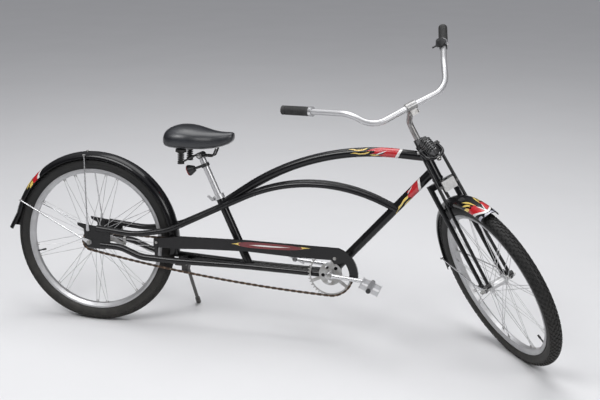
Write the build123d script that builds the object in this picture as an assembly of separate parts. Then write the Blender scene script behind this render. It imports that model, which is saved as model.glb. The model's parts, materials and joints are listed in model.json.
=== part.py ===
from build123d import *
import math
import os

# Stretched cruiser bicycle with a springer fork, parked on its side stand.
# Millimetres. The bicycle is drawn upright with the rear axle at the origin, +X forward,
# +Y to the rider's left and +Z up. At the end it is leaned on its stand and set on the floor.

# Stance
WHEELBASE = 1606.0
HEAD_ANGLE = 60.0            # steering axis above the horizontal
FORK_OFFSET = 63.5           # front axle ahead of the steering axis
PARKED_STEER = -60.0         # front wheel turned to the right
LEAN = 6.0                   # to the left, onto the stand
RUN_GAP = 0.3                # between pieces that turn on each other
SEAT_GAP = 0.2               # between pieces that rest on each other

# Wheels
RIM_RADIUS = 284.0
TYRE_HEIGHT = 49.0           # above the rim's edge
TYRE_SECTION = 0.551 * TYRE_HEIGHT       # radius of the tyre's round section
TYRE_RADIUS = RIM_RADIUS + TYRE_HEIGHT
RIM_HALF_WIDTH = 16.0
RIM_DEPTH = 18.0
RIM_WALL = 2.2
SPOKE_COUNT = 36
SPOKE_RADIUS = 1.1
SPOKE_CROSS = 3              # how many spokes of its own side each spoke passes
AXLE_RADIUS = 4.76
AXLE_TIP = 5.5               # thread left past the outer nut
REAR_HUB_END = 40.0
FRONT_HUB_END = 38.0
NUT_HEIGHT = 8.0
NUT_WIDTH = 15.0             # across the flats

# Drive
CHAIN_PITCH = 12.7
RING_TEETH = 42
COG_TEETH = 18
CHAIN_LINE = 44.0            # chain plane, to the right of the middle
CHAIN_HALF_WIDTH = 3.6
CHAIN_GROOVE_HALF = 1.75     # half the room between the side plates
CHAIN_PLATE = 8.0            # height of a side plate at a pin
CHAIN_WAIST = 6.0
CHAIN_SAG = 18.0
TOOTH_HALF_WIDTH = 1.1
TOOTH_RISE = 2.9             # tip above the pitch circle
TOOTH_ROOT = 4.0             # root below the pitch circle
CRANK_X, CRANK_Z = 965.0, -43.0
CRANK_LENGTH = 165.0
CRANK_TURN = -4.0            # right arm, above the forward horizontal
SPINDLE_RADIUS = 11.5
SHELL_RADIUS = 28.5
SHELL_HALF = 34.0
SPIDER_RADIUS = 44.0
RING_INNER = 76.0
ARM_Y = 66.0                 # inner face of a crank arm
ARM_THICK = 12.0
PEDAL_LENGTH = 92.0
PEDAL_WIDTH = 74.0
PEDAL_HEIGHT = 24.0
PEDAL_TILT = -22.0

# Frame tubes
TOP_TUBE = 17.5
DOWN_TUBE = 17.5
DOWN_TUBE_STEP = 5.20283     # from the head tube foot to the tube side
SEAT_TUBE = 15.9
SEAT_TUBE_BORE = 13.2
TWIN_TUBE = 11.1
LOWER_TUBE = 12.7
HEAD_TUBE = 18.5
HEAD_BORE = 15.5
SEAT_FOOT = (630.0, -36.0)
SEAT_TOP = (510.0, 211.0)
POST_RADIUS = 12.7
POST_TOP = 170.0             # length of post above the seat tube
REFLECTOR_UP = 130.0         # up the post from the seat tube
STAY_Y = 61.5                # stays beside the rear axle
DROPOUT_THICK = 6.0
BRAKE_ARM_THICK = 4.0
BRAKE_STRAP_X = 98.0

# Chain guard
GUARD_TAIL = 266.0
GUARD_Y = 60.0               # outer face
GUARD_DEPTH = 12.0
GUARD_WALL = 1.6
GUARD_OUTER, GUARD_INNER = 107.0, 74.0   # about the crank

# Fenders
FENDER_GAP = 19.0            # from the tread to the outside of a fender
FENDER_RADIUS = TYRE_RADIUS + FENDER_GAP
FENDER_HALF = TYRE_SECTION + 6
FENDER_DROP = 24.0
FENDER_WALL = 1.6
REAR_FENDER_ENDS = (-6.0, 166.0)         # above the forward line
FLARE_LENGTH = 70.0
FLARE_TURN = 14.0                        # away from the tyre
FRONT_FENDER_ENDS = (55.0, 168.5)
STAY_WIRE = 2.6
STAY_EYE = 3.4                           # thickness of a stay's flat end
STAY_HEAD = 12.0                         # inside the fender's crown

# Springer fork, along and ahead of the steering axis
CROWN_LOW = FENDER_RADIUS + 44
CROWN_HIGH = CROWN_LOW + 22
HEAD_LENGTH = 122.0
HEAD_LOW = CROWN_HIGH + 14
HEAD_HIGH = HEAD_LOW + HEAD_LENGTH
RACE_HEIGHT = HEAD_HIGH + 34             # top of the steering's lock nut
LEG_SPREAD = 45.0
LEG_FOOT_SPREAD = 46.0
LEG_TOP, LEG_FOOT = (6.0, CROWN_HIGH + 1), (26.0, 10.0)
LEG_RADIUS = 10.0
LEG_FOOT_RADIUS = 7.0
STRUT_SPREAD = 35.0
STRUT_TOP, STRUT_FOOT = (57.0, RACE_HEIGHT - 40), (88.0, 14.0)
STRUT_RADIUS = 6.0
ROCKER_OUT = 7.5             # from the leg's foot to the rocker
ROCKER_THICK = 5.0
SPRING_TOP, SPRING_FOOT = (44.0, RACE_HEIGHT - 8), (97.0, RACE_HEIGHT - 81)
SPRING_RADIUS = 20.0
SPRING_WIRE = 3.5
SPRING_TURNS = 6
REFLECTOR_ALONG = CROWN_LOW + 4
REFLECTOR_SIZE = (50.0, 38.0)

# Handlebar
BAR_RADIUS = 11.1
BAR_CLAMP = (84.0, RACE_HEIGHT + 119)
STEM_BEND = RACE_HEIGHT + 67
STEM_HALF = 20.0             # half the clamp's width
BAR_END, BAR_CORNER = (-155.0, 355.0, RACE_HEIGHT + 318), (49.0, 199.0, RACE_HEIGHT + 194)
GRIP_RADIUS = 17.0
GRIP_LENGTH = 117.0
GRIP_RING = 12.0
BELL_SPOT = GRIP_LENGTH + GRIP_RING + 23     # from the bar's left end

# Side stand
STAND_PIVOT = (FENDER_RADIUS + 20, 36.0, -92.0)
STAND_SPLAY = 44.0           # outward of straight down
STAND_TRAIL = -6.0           # rearward of straight down
STAND_FOLD = (-0.975, 0.075, -0.2)       # direction of the folded leg
STAND_RADIUS = 7.0
STAND_FOOT_RADIUS = 10.0
STAND_EYE_RADIUS = 11.0
STAND_EYE_HALF = 7.5

STEER_SPOT = Plane(
    origin=(
        WHEELBASE - FORK_OFFSET * math.sin(math.radians(HEAD_ANGLE)),
        0,
        -FORK_OFFSET * math.cos(math.radians(HEAD_ANGLE)),
    ),
    x_dir=(math.sin(math.radians(HEAD_ANGLE)), 0, math.cos(math.radians(HEAD_ANGLE))),
    z_dir=(-math.cos(math.radians(HEAD_ANGLE)), 0, math.sin(math.radians(HEAD_ANGLE))),
)
STRAIGHT = STEER_SPOT.location
STEERED = STRAIGHT * Rot(0, 0, PARKED_STEER)


def rod(start, end, radius):
    """Round bar between two points."""
    start, end = Vector(*start), Vector(*end)
    return Solid.make_cylinder(radius, (end - start).length, Plane(origin=start, z_dir=end - start))


def taper(start, end, start_radius, end_radius):
    """Round bar whose radius changes from one end to the other."""
    start, end = Vector(*start), Vector(*end)
    axis = Plane(origin=start, z_dir=end - start)
    return Solid.make_cone(start_radius, end_radius, (end - start).length, axis)


def bent_rod(points, bends, radius):
    """Round bar along straight runs joined by arcs of the given bend radii."""
    path = FilletPolyline(*points, radius=bends)
    return sweep(Plane(origin=path @ 0, z_dir=path % 0) * Circle(radius), path)


def bend_radius(before, corner, after, share):
    """Radius of a bend whose arc ends at a share of the run from its corner to the next point."""
    back, run = Vector(*before) - Vector(*corner), Vector(*after) - Vector(*corner)
    return share * run.length * math.tan(math.radians(back.get_angle(run) / 2))


def side_plate(sketch, y_low, thickness):
    """Plate standing upright along the bicycle; the sketch is drawn in X and Z."""
    plane = Plane(origin=(0, y_low, 0), x_dir=(1, 0, 0), z_dir=(0, -1, 0))
    return extrude(plane * sketch, amount=-thickness)


def across(side, near, far):
    """Lower and upper Y of what lies between two distances from the middle, on one side."""
    return sorted((side * near, side * far))


def disc(x, z, radius, y_low, y_high):
    """Round disc or boss whose axis is across the bicycle."""
    return rod((x, y_low, z), (x, y_high, z), radius)


def turned(profile):
    """Revolve an outline of (radius, across) points about the bicycle's cross axis."""
    return revolve(make_face(Polyline(*profile, close=True)), Axis.Y)


def hex_nut(spot, y_low, y_high, width):
    """Nut whose axis is across the bicycle, at (x, z)."""
    sketch = Pos(spot[0], spot[1]) * RegularPolygon(width / math.sqrt(3), 6)
    return side_plate(sketch, y_low, y_high - y_low)


def link_bar(stations, y_low, thickness):
    """Flat bar round a row of (x, z, radius) eyes."""
    bar = None
    for (x1, z1, r1), (x2, z2, r2) in zip(stations, stations[1:]):
        piece = make_hull(
            (Pos(x1, z1) * Circle(r1)).edges() + (Pos(x2, z2) * Circle(r2)).edges()
        )
        bar = piece if bar is None else bar + piece
    return side_plate(bar, y_low, thickness)


# Wheels, each about its own axle at the origin

def tyre():
    """Tyre with a round section, seated between the rim's flanges."""
    ring = TYRE_RADIUS - TYRE_SECTION
    outline = []
    for step in range(-4, 5):
        angle = math.radians(step * 33.0)
        outline.append((ring + TYRE_SECTION * math.cos(angle), TYRE_SECTION * math.sin(angle)))
    bead = RIM_HALF_WIDTH - RIM_WALL - SEAT_GAP
    outline += [(RIM_RADIUS + SEAT_GAP, bead), (RIM_RADIUS - 6, bead)]
    outline += [(RIM_RADIUS - 6, -bead), (RIM_RADIUS + SEAT_GAP, -bead)]
    return turned(outline)


def rim():
    """Rim with upright flanges and a dropped middle."""
    well = RIM_HALF_WIDTH * 0.5
    inner = RIM_HALF_WIDTH - RIM_WALL
    bed = RIM_RADIUS - 7
    right = [(RIM_RADIUS, RIM_HALF_WIDTH), (bed, RIM_HALF_WIDTH), (RIM_RADIUS - RIM_DEPTH, well)]
    left = [(x, -y) for x, y in reversed(right)]
    hollow = [(RIM_RADIUS, -inner), (bed + 0.5, -inner), (RIM_RADIUS - RIM_DEPTH + RIM_WALL, -well)]
    back = [(x, -y) for x, y in reversed(hollow)]
    return turned(right + left + hollow + back)


def spokes(flange_y, hole_circle):
    """Crossed spokes from both flanges to the rim, each a six-sided wire."""
    per_side = SPOKE_COUNT // 2
    rim_radius = RIM_RADIUS - RIM_DEPTH - SEAT_GAP
    wires = []
    for side in (1, -1):
        for n in range(per_side):
            lean = 1 if n % 2 else -1
            hub_angle = 360 / per_side * n + (10 if side < 0 else 0)
            rim_angle = hub_angle + lean * SPOKE_CROSS * 360 / per_side * 0.82
            layer = flange_y + lean * 1.8
            a, b = math.radians(hub_angle), math.radians(rim_angle)
            start = Vector(hole_circle * math.cos(a), side * layer, hole_circle * math.sin(a))
            end = Vector(rim_radius * math.cos(b), side * RIM_HALF_WIDTH * 0.25, rim_radius * math.sin(b))
            place = Plane(origin=start, z_dir=end - start)
            wires.append(extrude(place * RegularPolygon(SPOKE_RADIUS, 6), amount=(end - start).length))
    return wires


def hub(flange_y, flange_radius, barrel, end_y, end_radius):
    """Hub shell with two spoke flanges, bored for its axle, and its spokes."""
    half = [
        (end_radius, end_y),
        (barrel + 1, flange_y + 4),
        (flange_radius, flange_y + 1.5),
        (flange_radius, flange_y - 1.5),
        (barrel, flange_y - 6),
    ]
    bore = AXLE_RADIUS + RUN_GAP
    outline = [(bore, end_y)] + half + [(r, -y) for r, y in reversed(half)] + [(bore, -end_y)]
    shell = turned(outline)
    return shell.fuse(*spokes(flange_y, flange_radius - 4))


# Drive

def pitch_radius(teeth):
    return CHAIN_PITCH / (2 * math.sin(math.pi / teeth))


def toothed_outline(teeth, turn):
    """Outline of a chain wheel; a tooth gap lies at the angle turn."""
    pitch = pitch_radius(teeth)
    tip, root = pitch + TOOTH_RISE, pitch - TOOTH_ROOT
    step = 360 / teeth
    corners = []
    for n in range(teeth):
        for radius, share in ((root, 0.22), (tip, 0.42), (tip, 0.58), (root, 0.78)):
            angle = math.radians(turn + step * (n + share))
            corners.append((radius * math.cos(angle), radius * math.sin(angle)))
    return make_face(Polyline(*corners, close=True))


def upper_tangent():
    """Angle of the normal to the tight upper chain run, and both wheels' pitch radii."""
    ring, cog = pitch_radius(RING_TEETH), pitch_radius(COG_TEETH)
    reach = math.hypot(CRANK_X, CRANK_Z)
    slope = math.atan2(CRANK_Z, CRANK_X)
    return slope + math.acos((cog - ring) / reach), slope - math.acos((cog - ring) / reach), ring, cog


def chain_path():
    """Chain's centre line: the tight upper run, both wraps and the slack lower run."""
    over, under, ring, cog = upper_tangent()
    cog_top = (cog * math.cos(over), cog * math.sin(over))
    ring_top = (CRANK_X + ring * math.cos(over), CRANK_Z + ring * math.sin(over))
    cog_low = (cog * math.cos(under), cog * math.sin(under))
    ring_low = (CRANK_X + ring * math.cos(under), CRANK_Z + ring * math.sin(under))
    points = []
    upper = math.dist(cog_top, ring_top)
    links = round(upper / CHAIN_PITCH)
    for n in range(links):
        share = n / links
        points.append((cog_top[0] + share * (ring_top[0] - cog_top[0]),
                       cog_top[1] + share * (ring_top[1] - cog_top[1])))
    wrap = under % (2 * math.pi) - over
    links = round((2 * math.pi - wrap) * ring / CHAIN_PITCH)
    for n in range(links):
        angle = over - (2 * math.pi - wrap) * n / links
        points.append((CRANK_X + ring * math.cos(angle), CRANK_Z + ring * math.sin(angle)))
    links = round(math.dist(cog_low, ring_low) / CHAIN_PITCH)
    for n in range(links):
        share = n / links
        sag = CHAIN_SAG * 4 * share * (1 - share)
        points.append((ring_low[0] + share * (cog_low[0] - ring_low[0]),
                       ring_low[1] + share * (cog_low[1] - ring_low[1]) - sag))
    links = round(wrap * cog / CHAIN_PITCH)
    for n in range(links):
        angle = under - wrap * n / links
        points.append((cog * math.cos(angle), cog * math.sin(angle)))
    return points


def beside(points, distance):
    """The closed outline moved sideways by a distance at each of its points."""
    moved = []
    for n, (x, z) in enumerate(points):
        before, after = points[n - 1], points[(n + 1) % len(points)]
        run = Vector(after[0] - before[0], after[1] - before[1]).normalized()
        moved.append((x - run.Y * distance, z + run.X * distance))
    return moved


def chain():
    """Closed chain loop: two scalloped side plates, joined between the wheels."""
    pins = chain_path()
    zigzag = []
    for n, (x, z) in enumerate(pins):
        after = pins[(n + 1) % len(pins)]
        zigzag += [(x, z), ((x + after[0]) / 2, (z + after[1]) / 2)]
    wide, waist = beside(zigzag, CHAIN_PLATE / 2), beside(zigzag, CHAIN_WAIST / 2)
    outer = [wide[n] if n % 2 == 0 else waist[n] for n in range(len(zigzag))]
    wide, waist = beside(zigzag, -CHAIN_PLATE / 2), beside(zigzag, -CHAIN_WAIST / 2)
    inner = [wide[n] if n % 2 == 0 else waist[n] for n in range(len(zigzag))]
    band = make_face(Polyline(*outer, close=True)) - make_face(Polyline(*inner, close=True))
    loop = side_plate(band, -CHAIN_LINE - CHAIN_HALF_WIDTH, 2 * CHAIN_HALF_WIDTH)
    for x, z, radius in ((CRANK_X, CRANK_Z, pitch_radius(RING_TEETH)), (0, 0, pitch_radius(COG_TEETH))):
        groove = disc(x, z, radius + 12, -CHAIN_LINE - CHAIN_GROOVE_HALF, -CHAIN_LINE + CHAIN_GROOVE_HALF)
        loop -= groove
    return loop


def sprocket():
    """Rear sprocket on the hub's driver."""
    plate = side_plate(toothed_outline(COG_TEETH, 90), -CHAIN_LINE - TOOTH_HALF_WIDTH, 2 * TOOTH_HALF_WIDTH)
    driver = disc(0, 0, 15, -CHAIN_LINE - 3, -REAR_HUB_END - RUN_GAP)
    dish = disc(0, 0, 24, -CHAIN_LINE, -CHAIN_LINE + 3)
    bore = disc(0, 0, AXLE_RADIUS + RUN_GAP, -80, 0)
    return plate.fuse(driver, dish) - bore


def chainring():
    """Toothed ring carried by three arms on a drilled spider disc."""
    middle = Pos(0, 0) * Circle(RING_INNER)
    ring = toothed_outline(RING_TEETH, 90) - middle
    plate = Circle(SPIDER_RADIUS)
    for angle in (85, 205, 325):
        plate += Rot(0, 0, angle) * Pos((SPIDER_RADIUS + RING_INNER) / 2, 0) * Rectangle(
            RING_INNER - SPIDER_RADIUS + 8, 12
        )
    for n in range(5):
        plate -= Rot(0, 0, 72 * n + 49) * Pos(29, 0) * Circle(7)
    plate -= Circle(SPINDLE_RADIUS + SEAT_GAP)
    spot = Pos(CRANK_X, CRANK_Z)
    return side_plate(spot * (ring + plate), -CHAIN_LINE - TOOTH_HALF_WIDTH, 2 * TOOTH_HALF_WIDTH)


def crank_end(side):
    """Centre of a pedal's eye in the arm; side is -1 for the right arm."""
    angle = math.radians(CRANK_TURN if side < 0 else CRANK_TURN + 180)
    return CRANK_X + CRANK_LENGTH * math.cos(angle), CRANK_Z + CRANK_LENGTH * math.sin(angle)


def crank():
    """Spindle through the bottom bracket with an arm at each end."""
    body = disc(CRANK_X, CRANK_Z, SPINDLE_RADIUS, -ARM_Y - ARM_THICK, ARM_Y + ARM_THICK)
    for side in (-1, 1):
        x, z = crank_end(side)
        low, high = across(side, ARM_Y, ARM_Y + ARM_THICK)
        arm = link_bar([(CRANK_X, CRANK_Z, 15), (x, z, 10)], low, ARM_THICK)
        shoulder = CHAIN_LINE + TOOTH_HALF_WIDTH + SEAT_GAP
        body += arm + disc(CRANK_X, CRANK_Z, 16, *across(side, shoulder, ARM_Y))
        body += disc(x, z, 4.5, *across(side, ARM_Y + 2, ARM_Y + ARM_THICK + PEDAL_LENGTH + 6))
    return body


def pedal(side):
    """Cage pedal: barrel, two end plates and two toothed cage plates."""
    x, z = crank_end(side)
    low = ARM_Y + ARM_THICK + 4
    high = low + PEDAL_LENGTH
    y1, y2 = sorted((side * low, side * high))
    body = disc(x, z, 11, y1, y2)
    spot = Pos(x, z) * Rot(0, 0, PEDAL_TILT)
    for y in (y1 + 6, y2 - 10):
        body += side_plate(spot * RectangleRounded(PEDAL_WIDTH, 16, 6), y, 4)
    teeth = 7
    for end in (-1, 1):
        pitch = (PEDAL_LENGTH - 8) / teeth
        outline = [(y1 + 4, -PEDAL_HEIGHT / 2 + 3)]
        for n in range(teeth):
            left = y1 + 4 + n * pitch
            outline += [(left + pitch * 0.25, PEDAL_HEIGHT / 2), (left + pitch * 0.75, PEDAL_HEIGHT / 2)]
            outline += [(left + pitch, PEDAL_HEIGHT / 2 - 4)]
        outline += [(y2 - 4, -PEDAL_HEIGHT / 2 + 3)]
        plane = Plane(origin=(x, 0, z), x_dir=(0, 1, 0), z_dir=(1, 0, 0))
        plate = extrude(plane * make_face(Polyline(*outline, close=True)), amount=2.5)
        plate = Pos(end * (PEDAL_WIDTH / 2 - 1.25) - 1.25, 0, 0) * plate
        body += plate.rotate(Axis((x, 0, z), (0, 1, 0)), -PEDAL_TILT)
    body -= disc(x, z, 4.5 + RUN_GAP, y1 - 5, y2 + 30)
    return body


def pedal_cap(side):
    """Dust cap on the pedal's outer end, turning with the pedal."""
    x, z = crank_end(side)
    outer = side * (ARM_Y + ARM_THICK + 4 + PEDAL_LENGTH)
    low, high = sorted((outer, outer + side * 9))
    cap = disc(x, z, 8.5, low, high)
    pocket_low, pocket_high = sorted((outer - side * 1, outer + side * 5))
    return cap - disc(x, z, 4.5 + RUN_GAP, pocket_low, pocket_high)


# Frame

def seat_point(up):
    """Point on the seat tube's axis, measured up from the tube's top."""
    run = Vector(SEAT_TOP[0] - SEAT_FOOT[0], 0, SEAT_TOP[1] - SEAT_FOOT[1]).normalized()
    return (SEAT_TOP[0] + run.X * up, 0, SEAT_TOP[1] + run.Z * up)


def head_rod(low, high, radius):
    """Round bar on the steering axis."""
    return STRAIGHT * Solid.make_cylinder(radius, high - low, Plane(origin=(0, 0, low)))


def head_point(along):
    spot = STRAIGHT * Pos(0, 0, along)
    return spot.position.X, 0, spot.position.Z


def shell_blank():
    return disc(CRANK_X, CRANK_Z, SHELL_RADIUS, -SHELL_HALF, SHELL_HALF)


def bottom_bracket():
    shell = shell_blank() - disc(CRANK_X, CRANK_Z, 24, -SHELL_HALF - 1, SHELL_HALF + 1)
    for side in (-1, 1):
        low, high = sorted((side * (SHELL_HALF - 8), side * (SHELL_HALF + 4)))
        shell += disc(CRANK_X, CRANK_Z, 24, low, high)
    return shell - disc(CRANK_X, CRANK_Z, SPINDLE_RADIUS + RUN_GAP, -SHELL_HALF - 5, SHELL_HALF + 5)


def head_tube():
    return head_rod(HEAD_LOW, HEAD_HIGH, HEAD_TUBE) - head_rod(HEAD_LOW - 1, HEAD_HIGH + 1, HEAD_BORE)


def headset():
    """Upper and lower bearing cups pressed into the head tube."""
    cups = []
    for low, high in ((HEAD_LOW - 9, HEAD_LOW), (HEAD_HIGH, HEAD_HIGH + 9)):
        cups.append(head_rod(low, high, HEAD_TUBE + 2) - head_rod(low - 1, high + 1, 12.7 + RUN_GAP))
    return cups


def seat_tube_blank():
    return rod(seat_point(-math.dist(SEAT_FOOT, SEAT_TOP) - 10), seat_point(0), SEAT_TUBE)


def lower_tube_blank(side):
    points = [
        (48, side * STAY_Y, -8),
        (130, side * STAY_Y, -10),
        (215, side * (STAY_Y - 2), -42),
        (345, side * 49, -48),
        (620, side * 22, -50),
        (CRANK_X, side * 20, -53),
    ]
    return bent_rod(points, [110, 130, 700, 900], LOWER_TUBE)


def down_tube_rise():
    """Height of the down tube's joint over the head tube's foot, so that its lower side ends there."""
    x, _, z = head_point(HEAD_LOW)
    turn = math.radians(180 - HEAD_ANGLE) - math.atan2(z - CRANK_Z, x - CRANK_X)
    return (DOWN_TUBE + DOWN_TUBE_STEP) / math.sin(turn) + HEAD_TUBE / math.tan(turn)


def down_point(share):
    """Point on the down tube's axis, at a share of the way up from the crank."""
    x, _, z = head_point(HEAD_LOW + down_tube_rise())
    return CRANK_X + share * (x - CRANK_X), 0, CRANK_Z + share * (z - CRANK_Z)


def twin_tube_blank(side):
    end_x, _, end_z = down_point(0.6236)
    seat_x = 524
    peak_x = seat_x + 0.5266 * (end_x + 13 - seat_x)
    points = [
        (30, side * STAY_Y, 59),
        (190, side * STAY_Y, 46),
        (330, side * 53, 74),
        (seat_x, side * (SEAT_TUBE + TWIN_TUBE + 0.1), 173),
        (peak_x, side * 26, end_z + 138),
        (end_x + 13, side * 13, end_z),
    ]
    peak_bend = bend_radius(*points[-3:], 0.829)
    return bent_rod(points, [300, 300, 900, peak_bend], TWIN_TUBE)


def down_tube_blank():
    return rod(down_point(1), down_point(0), DOWN_TUBE)


def seat_tube():
    tube = seat_tube_blank()
    for side in (-1, 1):
        tube -= lower_tube_blank(side)
    tube -= Pos(0, 0, -100) * Box(3000, 200, 2 * (100 - 50))
    return tube - rod(seat_point(-200), seat_point(5), SEAT_TUBE_BORE)


def top_tube():
    front, back = head_point(HEAD_HIGH - 37), seat_point(-34)
    peak = (back[0] + 0.4613 * (front[0] - back[0]), 0, front[2] + 20)
    tube = bent_rod([front, peak, back], [bend_radius(back, peak, front, 0.761)], TOP_TUBE)
    tube -= head_rod(HEAD_LOW, HEAD_HIGH, HEAD_TUBE)
    tube -= seat_tube_blank()
    for side in (-1, 1):
        tube -= twin_tube_blank(side)
    return tube


def down_tube():
    tube = down_tube_blank() - head_rod(HEAD_LOW - 20, HEAD_HIGH, HEAD_TUBE)
    return tube - shell_blank()


def twin_tube(side):
    tube = twin_tube_blank(side) - down_tube_blank() - seat_tube_blank()
    return tube - dropout(side)


def lower_tube(side):
    tube = lower_tube_blank(side) - shell_blank() - dropout(side)
    return tube


def dropout(side):
    """Gusset plate that carries the axle and both stays of one side."""
    outline = [(-52, 74), (-50, 64), (-24, 52), (-18, -12), (-8, -20), (36, -24), (66, -24)]
    outline += [(86, -4), (86, 34), (80, 60), (-18, 70)]
    plate = make_face(Polyline(*outline, close=True))
    plate -= Pos(-14, 0) * Rectangle(28, 2 * AXLE_RADIUS + 1)
    plate -= Circle(AXLE_RADIUS + 0.5)
    low = STAY_Y - DROPOUT_THICK / 2 if side > 0 else -STAY_Y - DROPOUT_THICK / 2
    return side_plate(plate, low, DROPOUT_THICK)


def bridges():
    """Cross bars between the stays, each with a boss that carries the rear fender."""
    bars = []
    low, high = FENDER_RADIUS + 20, FENDER_RADIUS + 14
    spots = (
        (low, -49, 36 - 0.098 * (low - 372)),
        (high, 93 + 0.51 * (high - 366), 42 - 0.134 * (high - 366)),
    )
    for x, z, reach in spots:
        bar = rod((x, -reach, z), (x, reach, z), 7)
        share = (FENDER_RADIUS + RUN_GAP) / math.hypot(x, z)
        bar += rod((x * share, 0, z * share), (x, 0, z), 6)
        for side in (-1, 1):
            bar -= lower_tube_blank(side)
            bar -= twin_tube_blank(side)
        bars.append(bar)
    return bars


def seat_clamp():
    """Split collar with its quick-release lever."""
    x, _, z = seat_point(-4)
    collar = rod(seat_point(-11), seat_point(6), SEAT_TUBE + 5) + Pos(x - 20, 0, z - 9) * Box(12, 12, 12)
    collar += rod((x - 24, -11, z - 10), (x - 24, 11, z - 10), 6)
    collar -= rod(seat_point(-40), seat_point(0), SEAT_TUBE + SEAT_GAP)
    collar -= rod(seat_point(-1), seat_point(20), POST_RADIUS + SEAT_GAP)
    lever = link_bar([(x - 24, z - 10, 5), (x - 40, z + 2, 4)], -16, 5.5)
    return collar + lever


def seat_post():
    return rod(seat_point(-120), seat_point(POST_TOP), POST_RADIUS)


def saddle():
    """Padded saddle: wide behind, narrow at the nose."""
    sections = [  # x, half width, low, high
        (308, 58, 410, 444),
        (334, 92, 397, 473),
        (384, 100, 392, 482),
        (446, 76, 392, 470),
        (500, 42, 398, 462),
        (540, 28, 416, 460),
        (560, 18, 430, 452),
    ]
    faces = []
    for x, half, low, high in sections:
        edge = low + (high - low) * 0.35
        plane = Plane(origin=(x, 0, 0), x_dir=(0, 1, 0), z_dir=(1, 0, 0))
        crown = ThreePointArc((-half, edge), (0, high), (half, edge))
        skirt = Line((half, edge), (half * 0.8, low))
        base = Line((half * 0.8, low), (-half * 0.8, low))
        back = Line((-half * 0.8, low), (-half, edge))
        faces.append(plane * make_face([crown, skirt, base, back]))
    return loft(faces, ruled=True)


def coil(length, radius, wire, turns):
    """Outline of a coil spring as a row of rings on a core, from the origin up Z."""
    pitch = length / turns
    core = radius - 2 * wire
    outline = [(0, 0), (core, 0)]
    for n in range(turns):
        low = pitch * n + pitch / 2 - wire
        high = low + 2 * wire
        outline += [(core, low), (radius + wire * 0.4, low), (radius + wire, low + wire * 0.6)]
        outline += [(radius + wire, high - wire * 0.6), (radius + wire * 0.4, high), (core, high)]
    return outline + [(core, length), (0, length)]


def spun(outline, start, toward):
    """Revolve an outline of (radius, along) points about the line from start."""
    start, toward = Vector(*start), Vector(*toward)
    flat = Plane.XZ * make_face(Polyline(*outline, close=True))
    solid = revolve(flat, Axis.Z)
    return Plane(origin=start, z_dir=toward - start).location * solid


def saddle_springs():
    """Chassis under the saddle: post clamp, two rails and the rear springs."""
    x, _, z = seat_point(POST_TOP)
    chassis = disc(x, z + 2, 12, -24, 24)
    low, high = 341.0, 381.0
    for side in (-1, 1):
        y = side * 50
        rail = [(500, side * 16, 396), (488, side * 16, z + 2), (415, side * 16, z + 2), (373, y, low - 3)]
        chassis += bent_rod(rail, [12, 20], 3.5)
        chassis += rod((373, y, low - 6), (373, y, low), 13)
        chassis += spun(coil(high - low, 11, 2, 5), (373, y, low), (373, y, high))
        chassis += rod((373, y, high), (373, y, 392 - SEAT_GAP), 21)
    return chassis - rod(seat_point(100), seat_point(POST_TOP), POST_RADIUS + SEAT_GAP)


def seat_reflector():
    """Rear reflector on a clamp round the seat post."""
    x, _, z = seat_point(REFLECTOR_UP)
    clamp = rod(seat_point(REFLECTOR_UP - 6), seat_point(REFLECTOR_UP + 7), POST_RADIUS + 4)
    clamp += rod((x - 12, 0, z - 4), (x - 44, 0, z - 17), 5)
    clamp += taper((x - 42, 0, z - 16), (x - 64, 0, z - 25), 12, 22)
    return clamp - rod(seat_point(REFLECTOR_UP - 30), seat_point(REFLECTOR_UP + 30), POST_RADIUS + SEAT_GAP)


def reflector_lens():
    x, _, z = seat_point(REFLECTOR_UP)
    run = Vector(-22, 0, -9).normalized()
    start = Vector(x - 64, 0, z - 25)
    return rod(tuple(start + run * SEAT_GAP), tuple(start + run * 4), 21)


# Fenders

def fender_profile(angle):
    """Section of a fender at an angle above the forward line of its axle."""
    outer = FENDER_RADIUS
    points = [(outer - FENDER_DROP, FENDER_HALF), (outer - 6, FENDER_HALF * 0.72), (outer, FENDER_HALF * 0.25)]
    outline = points + [(r, -y) for r, y in reversed(points)]
    inside = [(r - FENDER_WALL, y * 0.95) for r, y in reversed(outline)]
    face = make_face(Polyline(*(outline + inside), close=True))
    return face.rotate(Axis.Y, -angle)


def fender_side(radius):
    """Half width of a fender's outside at a radius."""
    share = (radius - FENDER_RADIUS + FENDER_DROP) / (FENDER_DROP - 6)
    return FENDER_HALF * (1 - 0.28 * share)


def fender(angle_low, angle_high):
    """Curved mudguard about an axle at the origin."""
    return revolve(fender_profile(angle_high), Axis.Y, revolution_arc=angle_high - angle_low)


def rear_fender():
    """Rear fender with its lower end flared away from the tyre."""
    end = REAR_FENDER_ENDS[1]
    turn = math.radians(end + 90 - FLARE_TURN)
    away = (math.cos(turn), 0, math.sin(turn))
    return fender(*REAR_FENDER_ENDS) + extrude(fender_profile(end), amount=FLARE_LENGTH, dir=away)


def fender_edge(angle):
    """Where a stay's head meets a fender, as X and Z from the axle."""
    turn = math.radians(angle)
    radius = FENDER_RADIUS - STAY_HEAD
    return radius * math.cos(turn), radius * math.sin(turn)


def rear_stack():
    """Distances from the middle of a stay's eye, the outer nut and the rear axle's end."""
    eye = STAY_Y + DROPOUT_THICK / 2 + SEAT_GAP
    nut = eye + STAY_EYE + SEAT_GAP
    return eye, nut, nut + NUT_HEIGHT + AXLE_TIP


def front_stack():
    """Distances from the middle of a rocker, a stay's eye, the nut and the front axle's end."""
    rocker = LEG_FOOT_SPREAD + ROCKER_OUT
    eye = rocker + ROCKER_THICK + SEAT_GAP
    nut = eye + STAY_EYE + SEAT_GAP
    return rocker, eye, nut, nut + NUT_HEIGHT + AXLE_TIP


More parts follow.
